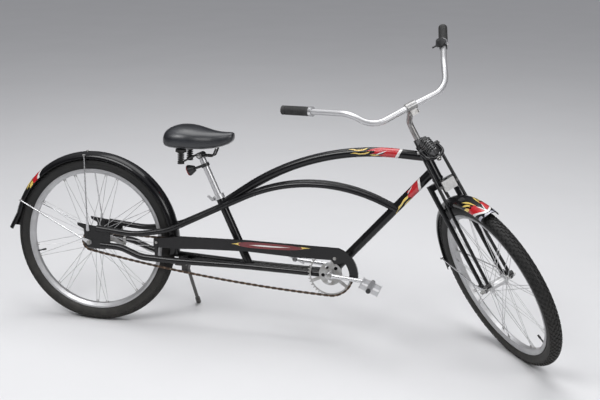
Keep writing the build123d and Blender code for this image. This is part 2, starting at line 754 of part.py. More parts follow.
def stay(side, eye, tab, angle):
    """Fender stay: flat end of (x, z, radius) eyes, wire, and the bolt at the fender."""
    low, high = across(side, eye, eye + STAY_EYE)
    x, z = fender_edge(angle)
    foot = Vector(tab[-1][0], (low + high) / 2, tab[-1][1])
    head = Vector(x, side * (FENDER_HALF + STAY_WIRE), z)
    wire = link_bar(tab, low, high - low)
    wire += rod(tuple(foot), tuple(head), STAY_WIRE)
    seat = fender_side(FENDER_RADIUS - STAY_HEAD - 4) + SEAT_GAP
    return wire + disc(x, z, 4, *across(side, seat, FENDER_HALF + 2 * STAY_WIRE))


def rear_stays():
    """Stays from both dropouts and both axle ends to the rear fender."""
    wires = []
    eye = rear_stack()[0]
    for side in (-1, 1):
        wires.append(stay(side, eye, [(-6, 50, 6), (-8, 86, 4)], 95.5))
        slanted = stay(side, eye, [(0, 0, 9.5), (-32, 14, 4.5)], 156)
        wires.append(slanted - disc(0, 0, AXLE_RADIUS + SEAT_GAP, -100, 100))
    return wires


def chain_guard():
    """Shallow tray over the upper chain run, curved round the front of the chain ring."""
    outline = [(GUARD_TAIL, 36), (GUARD_TAIL + 106, 52), (640, 60), (CRANK_X - 40, 60)]
    for step in range(9):
        angle = math.radians(75 - step * 78 / 8)
        outline.append((CRANK_X + GUARD_OUTER * math.cos(angle), CRANK_Z + GUARD_OUTER * math.sin(angle)))
    for step in range(6):
        angle = math.radians(-3 + step * 48 / 5)
        outline.append((CRANK_X + GUARD_INNER * math.cos(angle), CRANK_Z + GUARD_INNER * math.sin(angle)))
    outline += [(CRANK_X + 34, 2), (CRANK_X + 14, 0), (CRANK_X + 4, 14), (880, 13), (850, 12), (640, 18)]
    outline += [(452, 10), (GUARD_TAIL + 106, 4), (GUARD_TAIL, 2)]
    face = make_face(Polyline(*outline, close=True))
    tray = side_plate(face, -GUARD_Y, GUARD_DEPTH)
    room = offset(face, -GUARD_WALL)
    return tray - side_plate(room, -GUARD_Y + GUARD_WALL, GUARD_DEPTH)


def guard_brackets():
    """Strap down to the lower tube behind and a tab to the down tube in front."""
    strap = side_plate(Pos(GUARD_TAIL + 12, -8) * Rectangle(12, 70), -GUARD_Y - SEAT_GAP - 3, 3)
    strap -= lower_tube_blank(-1)
    top = down_point(1)
    turn = math.degrees(math.atan2(top[2] - CRANK_Z, top[0] - CRANK_X))
    shape = Pos(CRANK_X, CRANK_Z) * Rot(0, 0, turn) * Pos(GUARD_OUTER - 5.5, 0) * Rectangle(5, 14)
    reach = GUARD_Y - GUARD_WALL - SEAT_GAP
    tab = side_plate(shape, -reach, reach - 10) - down_tube_blank()
    return [strap, tab]


def rear_axle():
    """Axle with its spacers and nuts; the left spacers leave room for the brake arm."""
    _, nut, end = rear_stack()
    inner = STAY_Y - DROPOUT_THICK / 2 - SEAT_GAP
    arm = brake_arm_y()
    body = disc(0, 0, AXLE_RADIUS, -end, end)
    for side in (-1, 1):
        body += hex_nut((0, 0), *across(side, nut, nut + NUT_HEIGHT), NUT_WIDTH)
        body += hex_nut((0, 0), *across(side, inner - 6, inner), NUT_WIDTH)
    body += disc(0, 0, 8, *across(-1, CHAIN_LINE + 3 + RUN_GAP, inner - 6))
    body += disc(0, 0, 8, *across(1, REAR_HUB_END + RUN_GAP, arm - SEAT_GAP))
    return body + disc(0, 0, 8, *across(1, arm + BRAKE_ARM_THICK + SEAT_GAP, inner - 6))


def brake_arm_y():
    """Inner face of the brake arm, which passes inside the left lower tube."""
    return STAY_Y - LOWER_TUBE - RUN_GAP - BRAKE_ARM_THICK


def brake_arm():
    """Coaster brake's reaction arm and the band that holds it to the lower tube."""
    low = brake_arm_y()
    high = low + BRAKE_ARM_THICK
    x, z = BRAKE_STRAP_X, -30
    arm = link_bar([(0, 0, 15), (50, -7, 9), (x, z, 8)], low, BRAKE_ARM_THICK)
    arm -= disc(0, 0, AXLE_RADIUS + SEAT_GAP, 20, 80) + disc(x, z, 3.5 + SEAT_GAP, 20, 80)
    start, end = (x - 5, STAY_Y, -9.1), (x + 5, STAY_Y, -9.34)
    band = rod(start, end, LOWER_TUBE + 2.4)
    band += Pos(x, high + SEAT_GAP + 1.25, -26) * Box(10, 2.5, 24)
    band -= lower_tube_blank(1)
    band -= Pos(x, high + SEAT_GAP - 10, 0) * Box(30, 20, 100)
    band += disc(x, z, 3.5, low - 0.5, high + 4)
    return [arm, band + hex_nut((x, z), low - 3.5, low - SEAT_GAP, 11)]


# Stand

def stand_direction():
    splay, trail = math.radians(STAND_SPLAY), math.radians(STAND_TRAIL)
    return Vector(math.tan(trail), math.tan(splay), -1).normalized()


def stand_axis():
    """Skewed pivot that takes the leg from its stand to beside the rear wheel."""
    return stand_direction().cross(Vector(*STAND_FOLD)).normalized()


def stand_pin(low, high, radius):
    """Round bar on the stand's pivot."""
    spot, run = Vector(*STAND_PIVOT), stand_axis()
    return rod(tuple(spot + run * low), tuple(spot + run * high), radius)


def stand_bracket():
    """Plate under the lower tubes with the stand's pivot block and pin."""
    x, y, z = STAND_PIVOT
    plate = Pos(x, 0, -62) * Box(44, 96, 8)
    for side in (-1, 1):
        plate -= lower_tube_blank(side)
    cheek = STAND_EYE_HALF + RUN_GAP
    block = Pos(x - 3, y - 12, (z - 14 - 64) / 2) * Box(28, 20, abs(z - 14 + 64))
    block += stand_pin(-cheek - 14, -cheek, 12)
    block -= stand_pin(-cheek, 40, STAND_EYE_RADIUS + 3)
    pivot, folded = Vector(*STAND_PIVOT), Vector(*STAND_FOLD).normalized()
    for share in (0, 0.2, 0.4):
        way = folded + stand_direction() * share
        block -= rod(tuple(pivot), tuple(pivot + way.normalized() * 70), STAND_RADIUS + 2.5)
    pin = stand_pin(-cheek - 2, cheek, 5) + stand_pin(cheek, cheek + 4, 9)
    return plate + block + pin


def stand_leg(length):
    """Leg with its eye and a thicker foot."""
    start = Vector(*STAND_PIVOT)
    run = stand_direction()
    leg = stand_pin(-STAND_EYE_HALF, STAND_EYE_HALF, STAND_EYE_RADIUS)
    leg += rod(tuple(start), tuple(start + run * (length - 4)), STAND_RADIUS)
    leg += rod(tuple(start + run * (length - 32)), tuple(start + run * length), STAND_FOOT_RADIUS)
    return leg - stand_pin(-20, 20, 5 + RUN_GAP)


# Steered group, drawn with X ahead of the steering axis, Y to the left and Z up along it

def crown_blank():
    middle = (CROWN_LOW + CROWN_HIGH) / 2
    return Pos(LEG_TOP[0] - 2, 0, middle) * Box(32, 2 * LEG_SPREAD + 8, CROWN_HIGH - CROWN_LOW)


def steerer():
    """Steerer tube with the lower crown, the fender's post, the lock nut and the perch."""
    tube = rod((0, 0, CROWN_LOW), (0, 0, RACE_HEIGHT), 12.7)
    tube += crown_blank() + rod((0, 0, CROWN_HIGH), (0, 0, HEAD_LOW - 9 - RUN_GAP), 17)
    for leg in fork_legs():
        tube -= leg
    top = Vector(8, 0, CROWN_LOW + 2)
    axle = Vector(FORK_OFFSET, 0, 0)
    tube += rod(tuple(axle + (top - axle).normalized() * (FENDER_RADIUS + RUN_GAP)), tuple(top), 6)
    tube += rod((0, 0, HEAD_HIGH + 9 + RUN_GAP), (0, 0, RACE_HEIGHT), 17)
    tube += link_bar([(0, RACE_HEIGHT - 11, 10), (SPRING_TOP[0], SPRING_TOP[1], 8)], -14, 28)
    return tube - rod((0, 0, CROWN_LOW + 40), (0, 0, RACE_HEIGHT + 10), BAR_RADIUS + SEAT_GAP)


def fork_legs():
    """Rear legs from the crown to the rockers, each with its rocker pin."""
    legs = []
    rocker = front_stack()[0]
    for side in (-1, 1):
        x, z = LEG_FOOT
        foot = (x, side * LEG_FOOT_SPREAD, z + 4)
        leg = taper(foot, (LEG_TOP[0], side * LEG_SPREAD, LEG_TOP[1]), LEG_FOOT_RADIUS, LEG_RADIUS)
        leg += disc(x, z, 9, *across(side, LEG_FOOT_SPREAD - 6, rocker - SEAT_GAP))
        legs.append(leg + disc(x, z, 4.5, *across(side, rocker - 2, rocker + ROCKER_THICK)))
    return legs


def spring_point(along):
    """Point on the spring's axis, as ahead, left and along."""
    start = Vector(SPRING_TOP[0], 0, SPRING_TOP[1])
    run = (Vector(SPRING_FOOT[0], 0, SPRING_FOOT[1]) - start).normalized()
    return tuple(start + run * along)


def spring_reach():
    return math.dist(SPRING_TOP, SPRING_FOOT)


def fork_struts():
    """Front struts and the hoop that joins them round the spring."""
    rocker = front_stack()[0]
    pieces = None
    for side in (-1, 1):
        top = (STRUT_TOP[0], side * STRUT_SPREAD, STRUT_TOP[1])
        x, z = STRUT_FOOT
        strut = rod((x, side * LEG_FOOT_SPREAD, z), top, STRUT_RADIUS)
        strut += disc(x, z, 9, *across(side, LEG_FOOT_SPREAD - 6, rocker - SEAT_GAP))
        strut += disc(x, z, 4.5, *across(side, rocker - 2, rocker + ROCKER_THICK))
        strut += disc(*STRUT_TOP, 8.5, *across(side, STRUT_SPREAD - 6, STRUT_SPREAD + 7))
        pieces = strut if pieces is None else pieces + strut
    hoop = [(STRUT_TOP[0], STRUT_SPREAD, STRUT_TOP[1]), (SPRING_FOOT[0], STRUT_SPREAD, SPRING_FOOT[1])]
    hoop += [(x, -y, z) for x, y, z in reversed(hoop)]
    pieces += bent_rod(hoop, [30, 30], STRUT_RADIUS)
    reach = spring_reach()
    pieces += rod(spring_point(reach), spring_point(reach + 16), 4)
    return pieces + rod(spring_point(reach + STRUT_RADIUS - 2), spring_point(reach + 12), 8)


def spring():
    """Coil spring between the perch and the hoop, with a cap at its lower end."""
    reach = spring_reach()
    start, end = 8 + RUN_GAP, reach - STRUT_RADIUS - 16
    outline = coil(end - start, SPRING_RADIUS, SPRING_WIRE, SPRING_TURNS)[:-2]
    tall = reach - STRUT_RADIUS - SEAT_GAP - start
    outline += [(outline[-1][0], end - start), (SPRING_RADIUS + 2, end - start), (10, tall), (0, tall)]
    return spun(outline, spring_point(start), spring_point(reach))


def rockers():
    """Links that carry the axle between each leg and its strut."""
    links = []
    rocker = front_stack()[0]
    for side in (-1, 1):
        low, _ = across(side, rocker, rocker + ROCKER_THICK)
        link = link_bar([(*LEG_FOOT, 10), (FORK_OFFSET, 0, 11), (*STRUT_FOOT, 9)], low, ROCKER_THICK)
        for x, z, radius in ((*LEG_FOOT, 4.5), (FORK_OFFSET, 0, AXLE_RADIUS), (*STRUT_FOOT, 4.5)):
            link -= disc(x, z, radius + SEAT_GAP, -90, 90)
        links.append(link)
    return links


def front_axle():
    """Axle with its spacers and nuts."""
    rocker, _, nut, end = front_stack()
    body = disc(FORK_OFFSET, 0, AXLE_RADIUS, -end, end)
    for side in (-1, 1):
        body += hex_nut((FORK_OFFSET, 0), *across(side, nut, nut + NUT_HEIGHT), NUT_WIDTH)
        body += hex_nut((FORK_OFFSET, 0), *across(side, rocker - 7, rocker - SEAT_GAP), NUT_WIDTH)
        body += disc(FORK_OFFSET, 0, 8, *across(side, FRONT_HUB_END + RUN_GAP, rocker - 7))
    return body


def front_fender():
    return Pos(FORK_OFFSET, 0, 0) * fender(*FRONT_FENDER_ENDS)


def front_stays():
    """Stays from both axle ends to the front fender's rear end."""
    eye = front_stack()[1]
    wires = []
    for side in (-1, 1):
        wire = stay(side, eye, [(0, 0, 9.5), (-50, 18, 5)], 160)
        wires.append(Pos(FORK_OFFSET, 0, 0) * (wire - disc(0, 0, AXLE_RADIUS + SEAT_GAP, -100, 100)))
    return wires


def reflector_bracket():
    """Flat bar bolted across the struts."""
    ahead, reach = reflector_ahead(), STRUT_SPREAD + 6
    bar = Pos(ahead + 1.25, 0, REFLECTOR_ALONG) * Box(2.5, 2 * reach, 10)
    for side in (-1, 1):
        start = (ahead + 2, side * STRUT_SPREAD, REFLECTOR_ALONG)
        bar += rod(start, (ahead + 5.5, side * STRUT_SPREAD, REFLECTOR_ALONG), 4)
    return bar


def reflector_ahead():
    """Front of the struts at the reflector's height."""
    share = (REFLECTOR_ALONG - STRUT_FOOT[1]) / (STRUT_TOP[1] - STRUT_FOOT[1])
    middle = STRUT_FOOT[0] + share * (STRUT_TOP[0] - STRUT_FOOT[0])
    return middle + STRUT_RADIUS + 2 * RUN_GAP


def front_reflector():
    width, height = REFLECTOR_SIZE
    start = reflector_ahead() + 2.5 + SEAT_GAP
    return Pos(start + 4, 0, REFLECTOR_ALONG) * Box(8, width, height)


def stem():
    """Quill with a forward neck that clamps the handlebar."""
    x, z = BAR_CLAMP
    neck = bent_rod([(0, 0, CROWN_HIGH + 60), (0, 0, STEM_BEND), (x, 0, z)], [26], BAR_RADIUS)
    clamp = disc(x, z, BAR_RADIUS + 5, -STEM_HALF, STEM_HALF)
    clamp += Pos(x + 2, 0, z - 22) * Box(15, 24, 22) + disc(x + 3, z - 25, 4.5, -16, 16)
    return neck + clamp - disc(x, z, BAR_RADIUS + SEAT_GAP, -40, 40)


def bar_points():
    x, z = BAR_CLAMP
    half = [(x, 34, z), (74, 156, z - 3), BAR_CORNER, BAR_END]
    return [(x, -y, z) for x, y, z in reversed(half)] + half


def handlebar():
    return bent_rod(bar_points(), [110, 90, 300, 300, 90, 110], BAR_RADIUS)


def bar_spot(side, inward):
    """Point on the handlebar's straight end, measured in from its tip."""
    end, corner = Vector(*BAR_END), Vector(*BAR_CORNER)
    spot = end + (corner - end).normalized() * inward
    return spot.X, side * spot.Y, spot.Z


def sleeve(side, low, high, radius):
    """Tube round the handlebar's end."""
    bore = rod(bar_spot(side, low - 5), bar_spot(side, high + 5), BAR_RADIUS + SEAT_GAP)
    return rod(bar_spot(side, low), bar_spot(side, high), radius) - bore


def grip(side):
    """Grip closed over the bar's tip."""
    body = rod(bar_spot(side, -3), bar_spot(side, GRIP_LENGTH), GRIP_RADIUS)
    return body - rod(bar_spot(side, -SEAT_GAP), bar_spot(side, GRIP_LENGTH + 5), BAR_RADIUS + SEAT_GAP)


def grip_ring(side):
    low = GRIP_LENGTH + SEAT_GAP
    return sleeve(side, low, low + GRIP_RING, GRIP_RADIUS + 1.5)


def bell():
    """Bell on a clamp beside the left grip, with its striking lever."""
    body = sleeve(1, BELL_SPOT - 7, BELL_SPOT + 7, BAR_RADIUS + 3.5)
    middle = Vector(*bar_spot(1, BELL_SPOT))
    run = (Vector(*bar_spot(1, BELL_SPOT + 1)) - middle).normalized()
    rise = (Vector(0, 0, 1) - run * run.Z).normalized()
    point = lambda up: tuple(middle + rise * up)
    body += rod(point(BAR_RADIUS + 2), point(BAR_RADIUS + 8), 6)
    body += rod(point(BAR_RADIUS + 5), point(BAR_RADIUS + 9), 20)
    body += taper(point(BAR_RADIUS + 9), point(BAR_RADIUS + 26), 22, 11)
    lever = middle + rise * (BAR_RADIUS + 7)
    side = run.cross(rise)
    return body + rod(tuple(lever + side * 10), tuple(lever + side * 36), 3)


# Standing on the floor

def lowest(centre, axis):
    """Height of a leaned tyre's lowest point."""
    return centre.Z - (TYRE_RADIUS - TYRE_SECTION) * math.sqrt(1 - axis.Z ** 2) - TYRE_SECTION


def stance():
    """Lean the bicycle and pitch it so that both tyres touch the floor."""
    front = (STEERED * Pos(FORK_OFFSET, 0, 0)).position
    front_axis = (STEERED * Pos(FORK_OFFSET, 1, 0)).position - front
    low, high = -10.0, 10.0
    for _ in range(60):
        pitch = (low + high) / 2
        turn = Rot(-LEAN, 0, 0) * Rot(0, pitch, 0)
        origin = turn.position
        side = (turn * Pos(0, 1, 0)).position - origin
        centre = (turn * Pos(front)).position
        axis = (turn * Pos(front + front_axis)).position - centre
        if lowest(centre, axis) > lowest(origin, side):
            low = pitch
        else:
            high = pitch
    return Pos(0, 0, -lowest(origin, side)) * turn


def stand_length(place):
    """Leg length that brings the stand's foot to the floor."""
    start = (place * Pos(*STAND_PIVOT)).position
    end = (place * Pos(Vector(*STAND_PIVOT) + stand_direction())).position
    drop = start.Z - end.Z
    return (start.Z - STAND_FOOT_RADIUS * math.sqrt(1 - drop ** 2)) / drop


def build():
    place = stance()
    rear = {
        "rear_tyre": tyre(),
        "rear_rim": rim(),
        "rear_hub": hub(34, 30, 20, REAR_HUB_END, 15),
        "sprocket": sprocket(),
        "crank": crank(),
        "chainring": chainring(),
        "pedal_right": pedal(-1),
        "pedal_left": pedal(1),
        "pedal_cap_right": pedal_cap(-1),
        "pedal_cap_left": pedal_cap(1),
        "head_tube": [head_tube(), *headset()],
        "top_tube": top_tube(),
        "down_tube": down_tube(),
        "seat_tube": seat_tube(),
        "twin_tubes": [twin_tube(-1), twin_tube(1)],
        "lower_tubes": [lower_tube(-1), lower_tube(1)],
        "bottom_bracket": bottom_bracket(),
        "dropouts": [dropout(-1), dropout(1)],
        "bridges": bridges(),
        "seat_clamp": seat_clamp(),
        "seat_post": seat_post(),
        "saddle": saddle(),
        "saddle_springs": saddle_springs(),
        "seat_reflector": seat_reflector(),
        "seat_reflector_lens": reflector_lens(),
        "rear_fender": rear_fender(),
        "rear_fender_stays": rear_stays(),
        "chain_guard": chain_guard(),
        "guard_brackets": guard_brackets(),
        "chain": chain(),
        "rear_axle": rear_axle(),
        "brake_arm": brake_arm(),
        "stand_bracket": stand_bracket(),
        "stand_leg": stand_leg(stand_length(place)),
    }
    steered = {
        "steerer": steerer(),
        "fork_legs": fork_legs(),
        "fork_struts": fork_struts(),
        "fork_spring": spring(),
        "rockers": rockers(),
        "front_axle": front_axle(),
        "front_fender": front_fender(),
        "front_fender_stays": front_stays(),
        "reflector_bracket": reflector_bracket(),
        "front_reflector": front_reflector(),
        "stem": stem(),
        "handlebar": handlebar(),
        "grips": [grip(-1), grip(1)],
        "grip_rings": [grip_ring(-1), grip_ring(1)],
        "bell": bell(),
        "front_tyre": Pos(FORK_OFFSET, 0, 0) * tyre(),
        "front_rim": Pos(FORK_OFFSET, 0, 0) * rim(),
        "front_hub": Pos(FORK_OFFSET, 0, 0) * hub(30, 21, 13, FRONT_HUB_END, 11),
    }
    parts = {}
    for name, shape in rear.items():
        solids = shape if isinstance(shape, list) else [shape]
        parts[name] = Compound([place * piece for solid in solids for piece in solid.solids()])
    for name, shape in steered.items():
        solids = shape if isinstance(shape, list) else [shape]
        parts[name] = Compound([place * STEERED * piece for solid in solids for piece in solid.solids()])
    box = Compound(list(parts.values())).bounding_box()
    shift = Pos(-(box.min.X + box.max.X) / 2, -(box.min.Y + box.max.Y) / 2, -box.min.Z)
    return {name: shift * shape for name, shape in parts.items()}, shift * place


def main():
    parts, _ = build()
    os.makedirs("parts", exist_ok=True)
    for name, shape in parts.items():
        export_step(shape, f"parts/{name}.step")


if __name__ == "__main__":
    main()
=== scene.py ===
"""Stretched cruiser bicycle: finishes, tyres, fenders, springs, saddle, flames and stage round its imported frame."""
import json
import math

import bpy
from mathutils import Matrix, Vector


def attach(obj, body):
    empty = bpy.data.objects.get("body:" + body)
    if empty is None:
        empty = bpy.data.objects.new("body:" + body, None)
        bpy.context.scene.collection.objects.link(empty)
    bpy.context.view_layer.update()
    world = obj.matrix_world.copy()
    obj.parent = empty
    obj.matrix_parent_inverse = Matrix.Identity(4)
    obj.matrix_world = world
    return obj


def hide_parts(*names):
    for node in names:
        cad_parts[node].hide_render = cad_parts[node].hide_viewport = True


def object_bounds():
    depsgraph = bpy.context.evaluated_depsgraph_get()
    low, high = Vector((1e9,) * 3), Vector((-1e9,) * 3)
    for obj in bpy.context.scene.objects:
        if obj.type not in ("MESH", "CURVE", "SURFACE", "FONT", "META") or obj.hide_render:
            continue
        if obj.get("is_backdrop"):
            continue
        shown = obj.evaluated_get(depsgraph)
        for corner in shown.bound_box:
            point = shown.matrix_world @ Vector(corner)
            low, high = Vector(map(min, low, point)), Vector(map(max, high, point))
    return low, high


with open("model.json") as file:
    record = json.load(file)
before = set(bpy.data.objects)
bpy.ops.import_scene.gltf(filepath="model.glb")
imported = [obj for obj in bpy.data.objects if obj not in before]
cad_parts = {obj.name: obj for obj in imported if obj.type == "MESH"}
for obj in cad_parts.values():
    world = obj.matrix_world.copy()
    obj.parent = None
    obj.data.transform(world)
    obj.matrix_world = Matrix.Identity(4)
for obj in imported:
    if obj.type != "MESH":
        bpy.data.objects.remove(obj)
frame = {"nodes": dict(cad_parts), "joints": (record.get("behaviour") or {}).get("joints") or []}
CAD_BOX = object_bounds()

bl_info = {
    "name": "Stretched Cruiser Bicycle",
    "version": (1, 0, 0),
    "blender": (4, 5, 0),
    "location": "3D View > Sidebar > Bicycle",
    "description": "Dresses a stretched cruiser bicycle with its tyres, fenders, saddle, springs and flames",
    "category": "Object",
}

MM = 0.001

# Places of the bicycle's own parts, in millimetres: X forward, Y left, Z up from the rear axle
CRANK = (965.0, -43.0)
STEER_SPOT = 450.0               # where the steering joint lies along its axis
FORK_OFFSET = 63.5
TYRE_RING, RIM_INNER = 306.0, 266.0
SPOKES, SPOKE_STEP, SPOKE_CROSS = 36, 20, 49.2     # number, and degrees between and across
TOP_FRONT, TOP_PEAK, TOP_BACK = (1292.5, 416.0), (879.0, 436.0), (524.9, 180.4)
TOP_REACH = 315.0                # where the top tube's bend ends, from its corner
DOWN_TOP = (1320.5, 367.5)
GUARD_Y = 60.0
PITCH, RING_TEETH, COG_TEETH = 12.7, 42, 18
CHAIN_LINE, CHAIN_SAG = 44.0, 18.0
CRANK_LENGTH, CRANK_TURN = 165.0, -4.0
ARM_Y, ARM_THICK, PEDAL_REACH = 66.0, 12.0, 98.0
FENDER_RADIUS, FENDER_HALF, FENDER_DROP = 352.0, 33.0, 24.0
FENDER_WALL = 1.6
FRONT_FENDER_START = 51          # degrees above the axle
BAR_END, BAR_CORNER = Vector((-155, 355, 906)), Vector((49, 199, 782))
SPRING_TOP, SPRING_FOOT = Vector((44, 0, 580)), Vector((97, 0, 507))


def joint(name):
    return next(j for j in frame["joints"] if j["name"] == name)


def axes_matrix(origin, x, y, z):
    turn = Matrix((x, y, z)).transposed().to_4x4()
    return Matrix.Translation(origin) @ turn


def bicycle_frame():
    """Place of the upright bicycle's axes in the row frame, from its rear axle and crank joints."""
    rear = Vector(joint("rear_wheel_spin")["pos_m"])
    left = Vector(joint("rear_wheel_spin")["axis"]).normalized()
    reach = Vector(joint("crank_spin")["pos_m"]) - rear
    ahead = (reach - left * reach.dot(left)).normalized()
    slope = math.atan2(-CRANK[1], CRANK[0])
    rise = ahead.cross(left)
    x = ahead * math.cos(slope) + rise * math.sin(slope)
    z = rise * math.cos(slope) - ahead * math.sin(slope)
    return axes_matrix(rear, x, left, z)


def fork_frame():
    """Place of the steered group: X ahead of the steering axis, Y left, Z up along it."""
    up = Vector(joint("steering")["axis"]).normalized()
    left = Vector(joint("front_wheel_spin")["axis"]).normalized()
    foot = Vector(joint("steering")["pos_m"]) - up * STEER_SPOT * MM
    return axes_matrix(foot, left.cross(up).normalized(), left, up)


BIKE = bicycle_frame()
FORK = fork_frame()
REAR_WHEEL = BIKE
FRONT_WHEEL = FORK @ Matrix.Translation((FORK_OFFSET * MM, 0, 0))


# Sizes and colours that a user would change

def length_property(name, description, default):
    return bpy.props.FloatProperty(name=name, description=description, default=default, unit="LENGTH")


def count_property(name, description, default, low, high):
    return bpy.props.IntProperty(name=name, description=description, default=default, min=low, max=high)


def colour_property(name, description, default):
    return bpy.props.FloatVectorProperty(
        name=name, description=description, default=default, size=3, subtype="COLOR")


class CruiserSizes(bpy.types.PropertyGroup):
    tread_rise: length_property("Tread rise", "Height of the tread blocks", 0.003)
    tread_pitch: count_property("Tread blocks", "Blocks in one row round a tyre", 92, 40, 160)
    decal_rise: length_property("Decal rise", "Height of a decal above the paint", 0.0003)
    spring_turns: count_property("Spring turns", "Turns of the fork's coil", 6, 3, 12)


class CruiserColours(bpy.types.PropertyGroup):
    paint: colour_property("Paint", "Frame and fenders", (0.004, 0.004, 0.005))
    flame_red: colour_property("Flame red", "Red of the flames", (0.55, 0.012, 0.018))
    flame_yellow: colour_property("Flame yellow", "Yellow of the flame tips", (0.75, 0.6, 0.16))
    flame_white: colour_property("Flame white", "White bands and outlines", (0.8, 0.78, 0.76))
    tyre: colour_property("Tyre", "Tyre rubber", (0.011, 0.011, 0.011))
    chain: colour_property("Chain", "Oiled and rusty chain", (0.045, 0.036, 0.03))
    floor: colour_property("Floor", "Pale studio floor", (0.72, 0.72, 0.73))


def sizes():
    return bpy.context.scene.cruiser_sizes


def colours():
    return bpy.context.scene.cruiser_colours


# Shared surface effects as shader node groups

def feed(tree, socket, value):
    """Link an output to a socket, or set the socket's own value. One number for a colour is a grey."""
    if hasattr(value, "is_linked"):
        tree.links.new(value, socket)
    elif socket.type == "RGBA":
        socket.default_value = (value, value, value, 1) if isinstance(value, float) else (*value[:3], 1)
    else:
        socket.default_value = value


def node(tree, kind, inputs=None, **values):
    """New node with its properties set and its inputs fed."""
    made = tree.nodes.new(kind)
    for name, value in values.items():
        setattr(made, name, value)
    for name, value in (inputs or {}).items():
        feed(tree, made.inputs[name], value)
    return made


def calc(tree, operation, a, b, clamp=False):
    return node(tree, "ShaderNodeMath", {0: a, 1: b}, operation=operation, use_clamp=clamp).outputs[0]


def mix_colour(tree, factor, a, b):
    return node(tree, "ShaderNodeMix", {"Factor": factor, 6: a, 7: b}, data_type="RGBA").outputs[2]


def noise(tree, scale, detail, rough, place):
    inputs = {"Detail": detail, "Roughness": rough, "Scale": scale, "Vector": place}
    return node(tree, "ShaderNodeTexNoise", inputs).outputs["Fac"]


def object_position(tree):
    return node(tree, "ShaderNodeTexCoord").outputs["Object"]


SOCKETS = {"RGBA": "NodeSocketColor", "VALUE": "NodeSocketFloat", "VECTOR": "NodeSocketVector"}
GROUPS = {}


def new_group(name, inputs, outputs):
    """Empty node group, kept under its name: its tree, what it is given, and its output node."""
    tree = GROUPS[name] = bpy.data.node_groups.new(name, "ShaderNodeTree")
    for label, (kind, value) in inputs.items():
        tree.interface.new_socket(label, in_out="INPUT", socket_type=SOCKETS[kind]).default_value = value
    for label, kind in outputs.items():
        tree.interface.new_socket(label, in_out="OUTPUT", socket_type=SOCKETS[kind])
    return tree, tree.nodes.new("NodeGroupInput").outputs, tree.nodes.new("NodeGroupOutput").inputs


def uneven_finish_group():
    """Slow changes of colour and gloss over a surface, and its fine relief."""
    tree, given, out = new_group(
        "uneven_finish",
        {"Color": ("RGBA", (0.5, 0.5, 0.5, 1)), "Second Color": ("RGBA", (0.4, 0.4, 0.4, 1)),
         "Roughness": ("VALUE", 0.4), "Roughness Spread": ("VALUE", 0.1), "Patch Scale": ("VALUE", 12.0),
         "Grain Scale": ("VALUE", 900.0)},
        {"Color": "RGBA", "Roughness": "VALUE", "Height": "VALUE"})
    place = object_position(tree)
    patch = noise(tree, given["Patch Scale"], 4, 0.6, place)
    share = node(tree, "ShaderNodeMapRange", {"From Min": 0.35, "From Max": 0.68, "Value": patch})
    swing = calc(tree, "MULTIPLY", calc(tree, "SUBTRACT", patch, 0.5), given["Roughness Spread"])
    rough = calc(tree, "ADD", given["Roughness"], calc(tree, "MULTIPLY", swing, 2.0), clamp=True)
    feed(tree, out["Color"], mix_colour(tree, share.outputs[0], given["Color"], given["Second Color"]))
    feed(tree, out["Roughness"], rough)
    feed(tree, out["Height"], noise(tree, given["Grain Scale"], 2, 0.5, place))


def road_dust_group():
    """Pale dust that thickens towards the floor and lies in patches."""
    tree, given, out = new_group(
        "road_dust",
        {"Color": ("RGBA", (0.5, 0.5, 0.5, 1)), "Roughness": ("VALUE", 0.4),
         "Dust Color": ("RGBA", (0.2, 0.18, 0.15, 1)), "Amount": ("VALUE", 0.3), "Reach": ("VALUE", 0.7)},
        {"Color": "RGBA", "Roughness": "VALUE"})
    place = object_position(tree)
    height = node(tree, "ShaderNodeSeparateXYZ", {0: place}).outputs["Z"]
    fall = calc(tree, "SUBTRACT", 1.0, calc(tree, "DIVIDE", height, given["Reach"]), clamp=True)
    patch = calc(tree, "POWER", noise(tree, 38.0, 6, 0.7, place), 2.0)
    mask = calc(tree, "MULTIPLY", calc(tree, "MULTIPLY", fall, patch), given["Amount"])
    mask = calc(tree, "MULTIPLY", mask, 3.0, clamp=True)
    feed(tree, out["Color"], mix_colour(tree, mask, given["Color"], given["Dust Color"]))
    lift = calc(tree, "MULTIPLY", mask, 0.45)
    feed(tree, out["Roughness"], calc(tree, "ADD", given["Roughness"], lift, clamp=True))


def turned_lines_group():
    """Fine machining lines in circles round an axle."""
    tree, given, out = new_group(
        "turned_lines",
        {"Centre": ("VECTOR", (0, 0, 0)), "Axis": ("VECTOR", (0, 1, 0)), "Lines": ("VALUE", 900.0)},
        {"Height": "VALUE"})

    def vector_math(operation, *inputs):
        return node(tree, "ShaderNodeVectorMath", dict(enumerate(inputs)), operation=operation).outputs

    away = vector_math("SUBTRACT", object_position(tree), given["Centre"])[0]
    along = vector_math("DOT_PRODUCT", away, given["Axis"])["Value"]
    reach = vector_math("LENGTH", vector_math("CROSS_PRODUCT", away, given["Axis"])[0])["Value"]
    pair = node(tree, "ShaderNodeCombineXYZ", {"X": reach, "Y": along})
    feed(tree, out["Height"], noise(tree, given["Lines"], 2, 0.6, pair.outputs[0]))


def leather_grain_group():
    """Small rounded cells with creases between them, as on vinyl."""
    tree, given, out = new_group("leather_grain", {"Scale": ("VALUE", 600.0)}, {"Height": "VALUE"})
    place = object_position(tree)
    cells = node(tree, "ShaderNodeTexVoronoi", {"Scale": given["Scale"], "Vector": place},
                 feature="DISTANCE_TO_EDGE")
    crease = calc(tree, "MULTIPLY", cells.outputs["Distance"], 2.5, clamp=True)
    pores = calc(tree, "MULTIPLY", noise(tree, 1800.0, 2, 0.5, place), 0.3)
    feed(tree, out["Height"], calc(tree, "ADD", crease, pores))


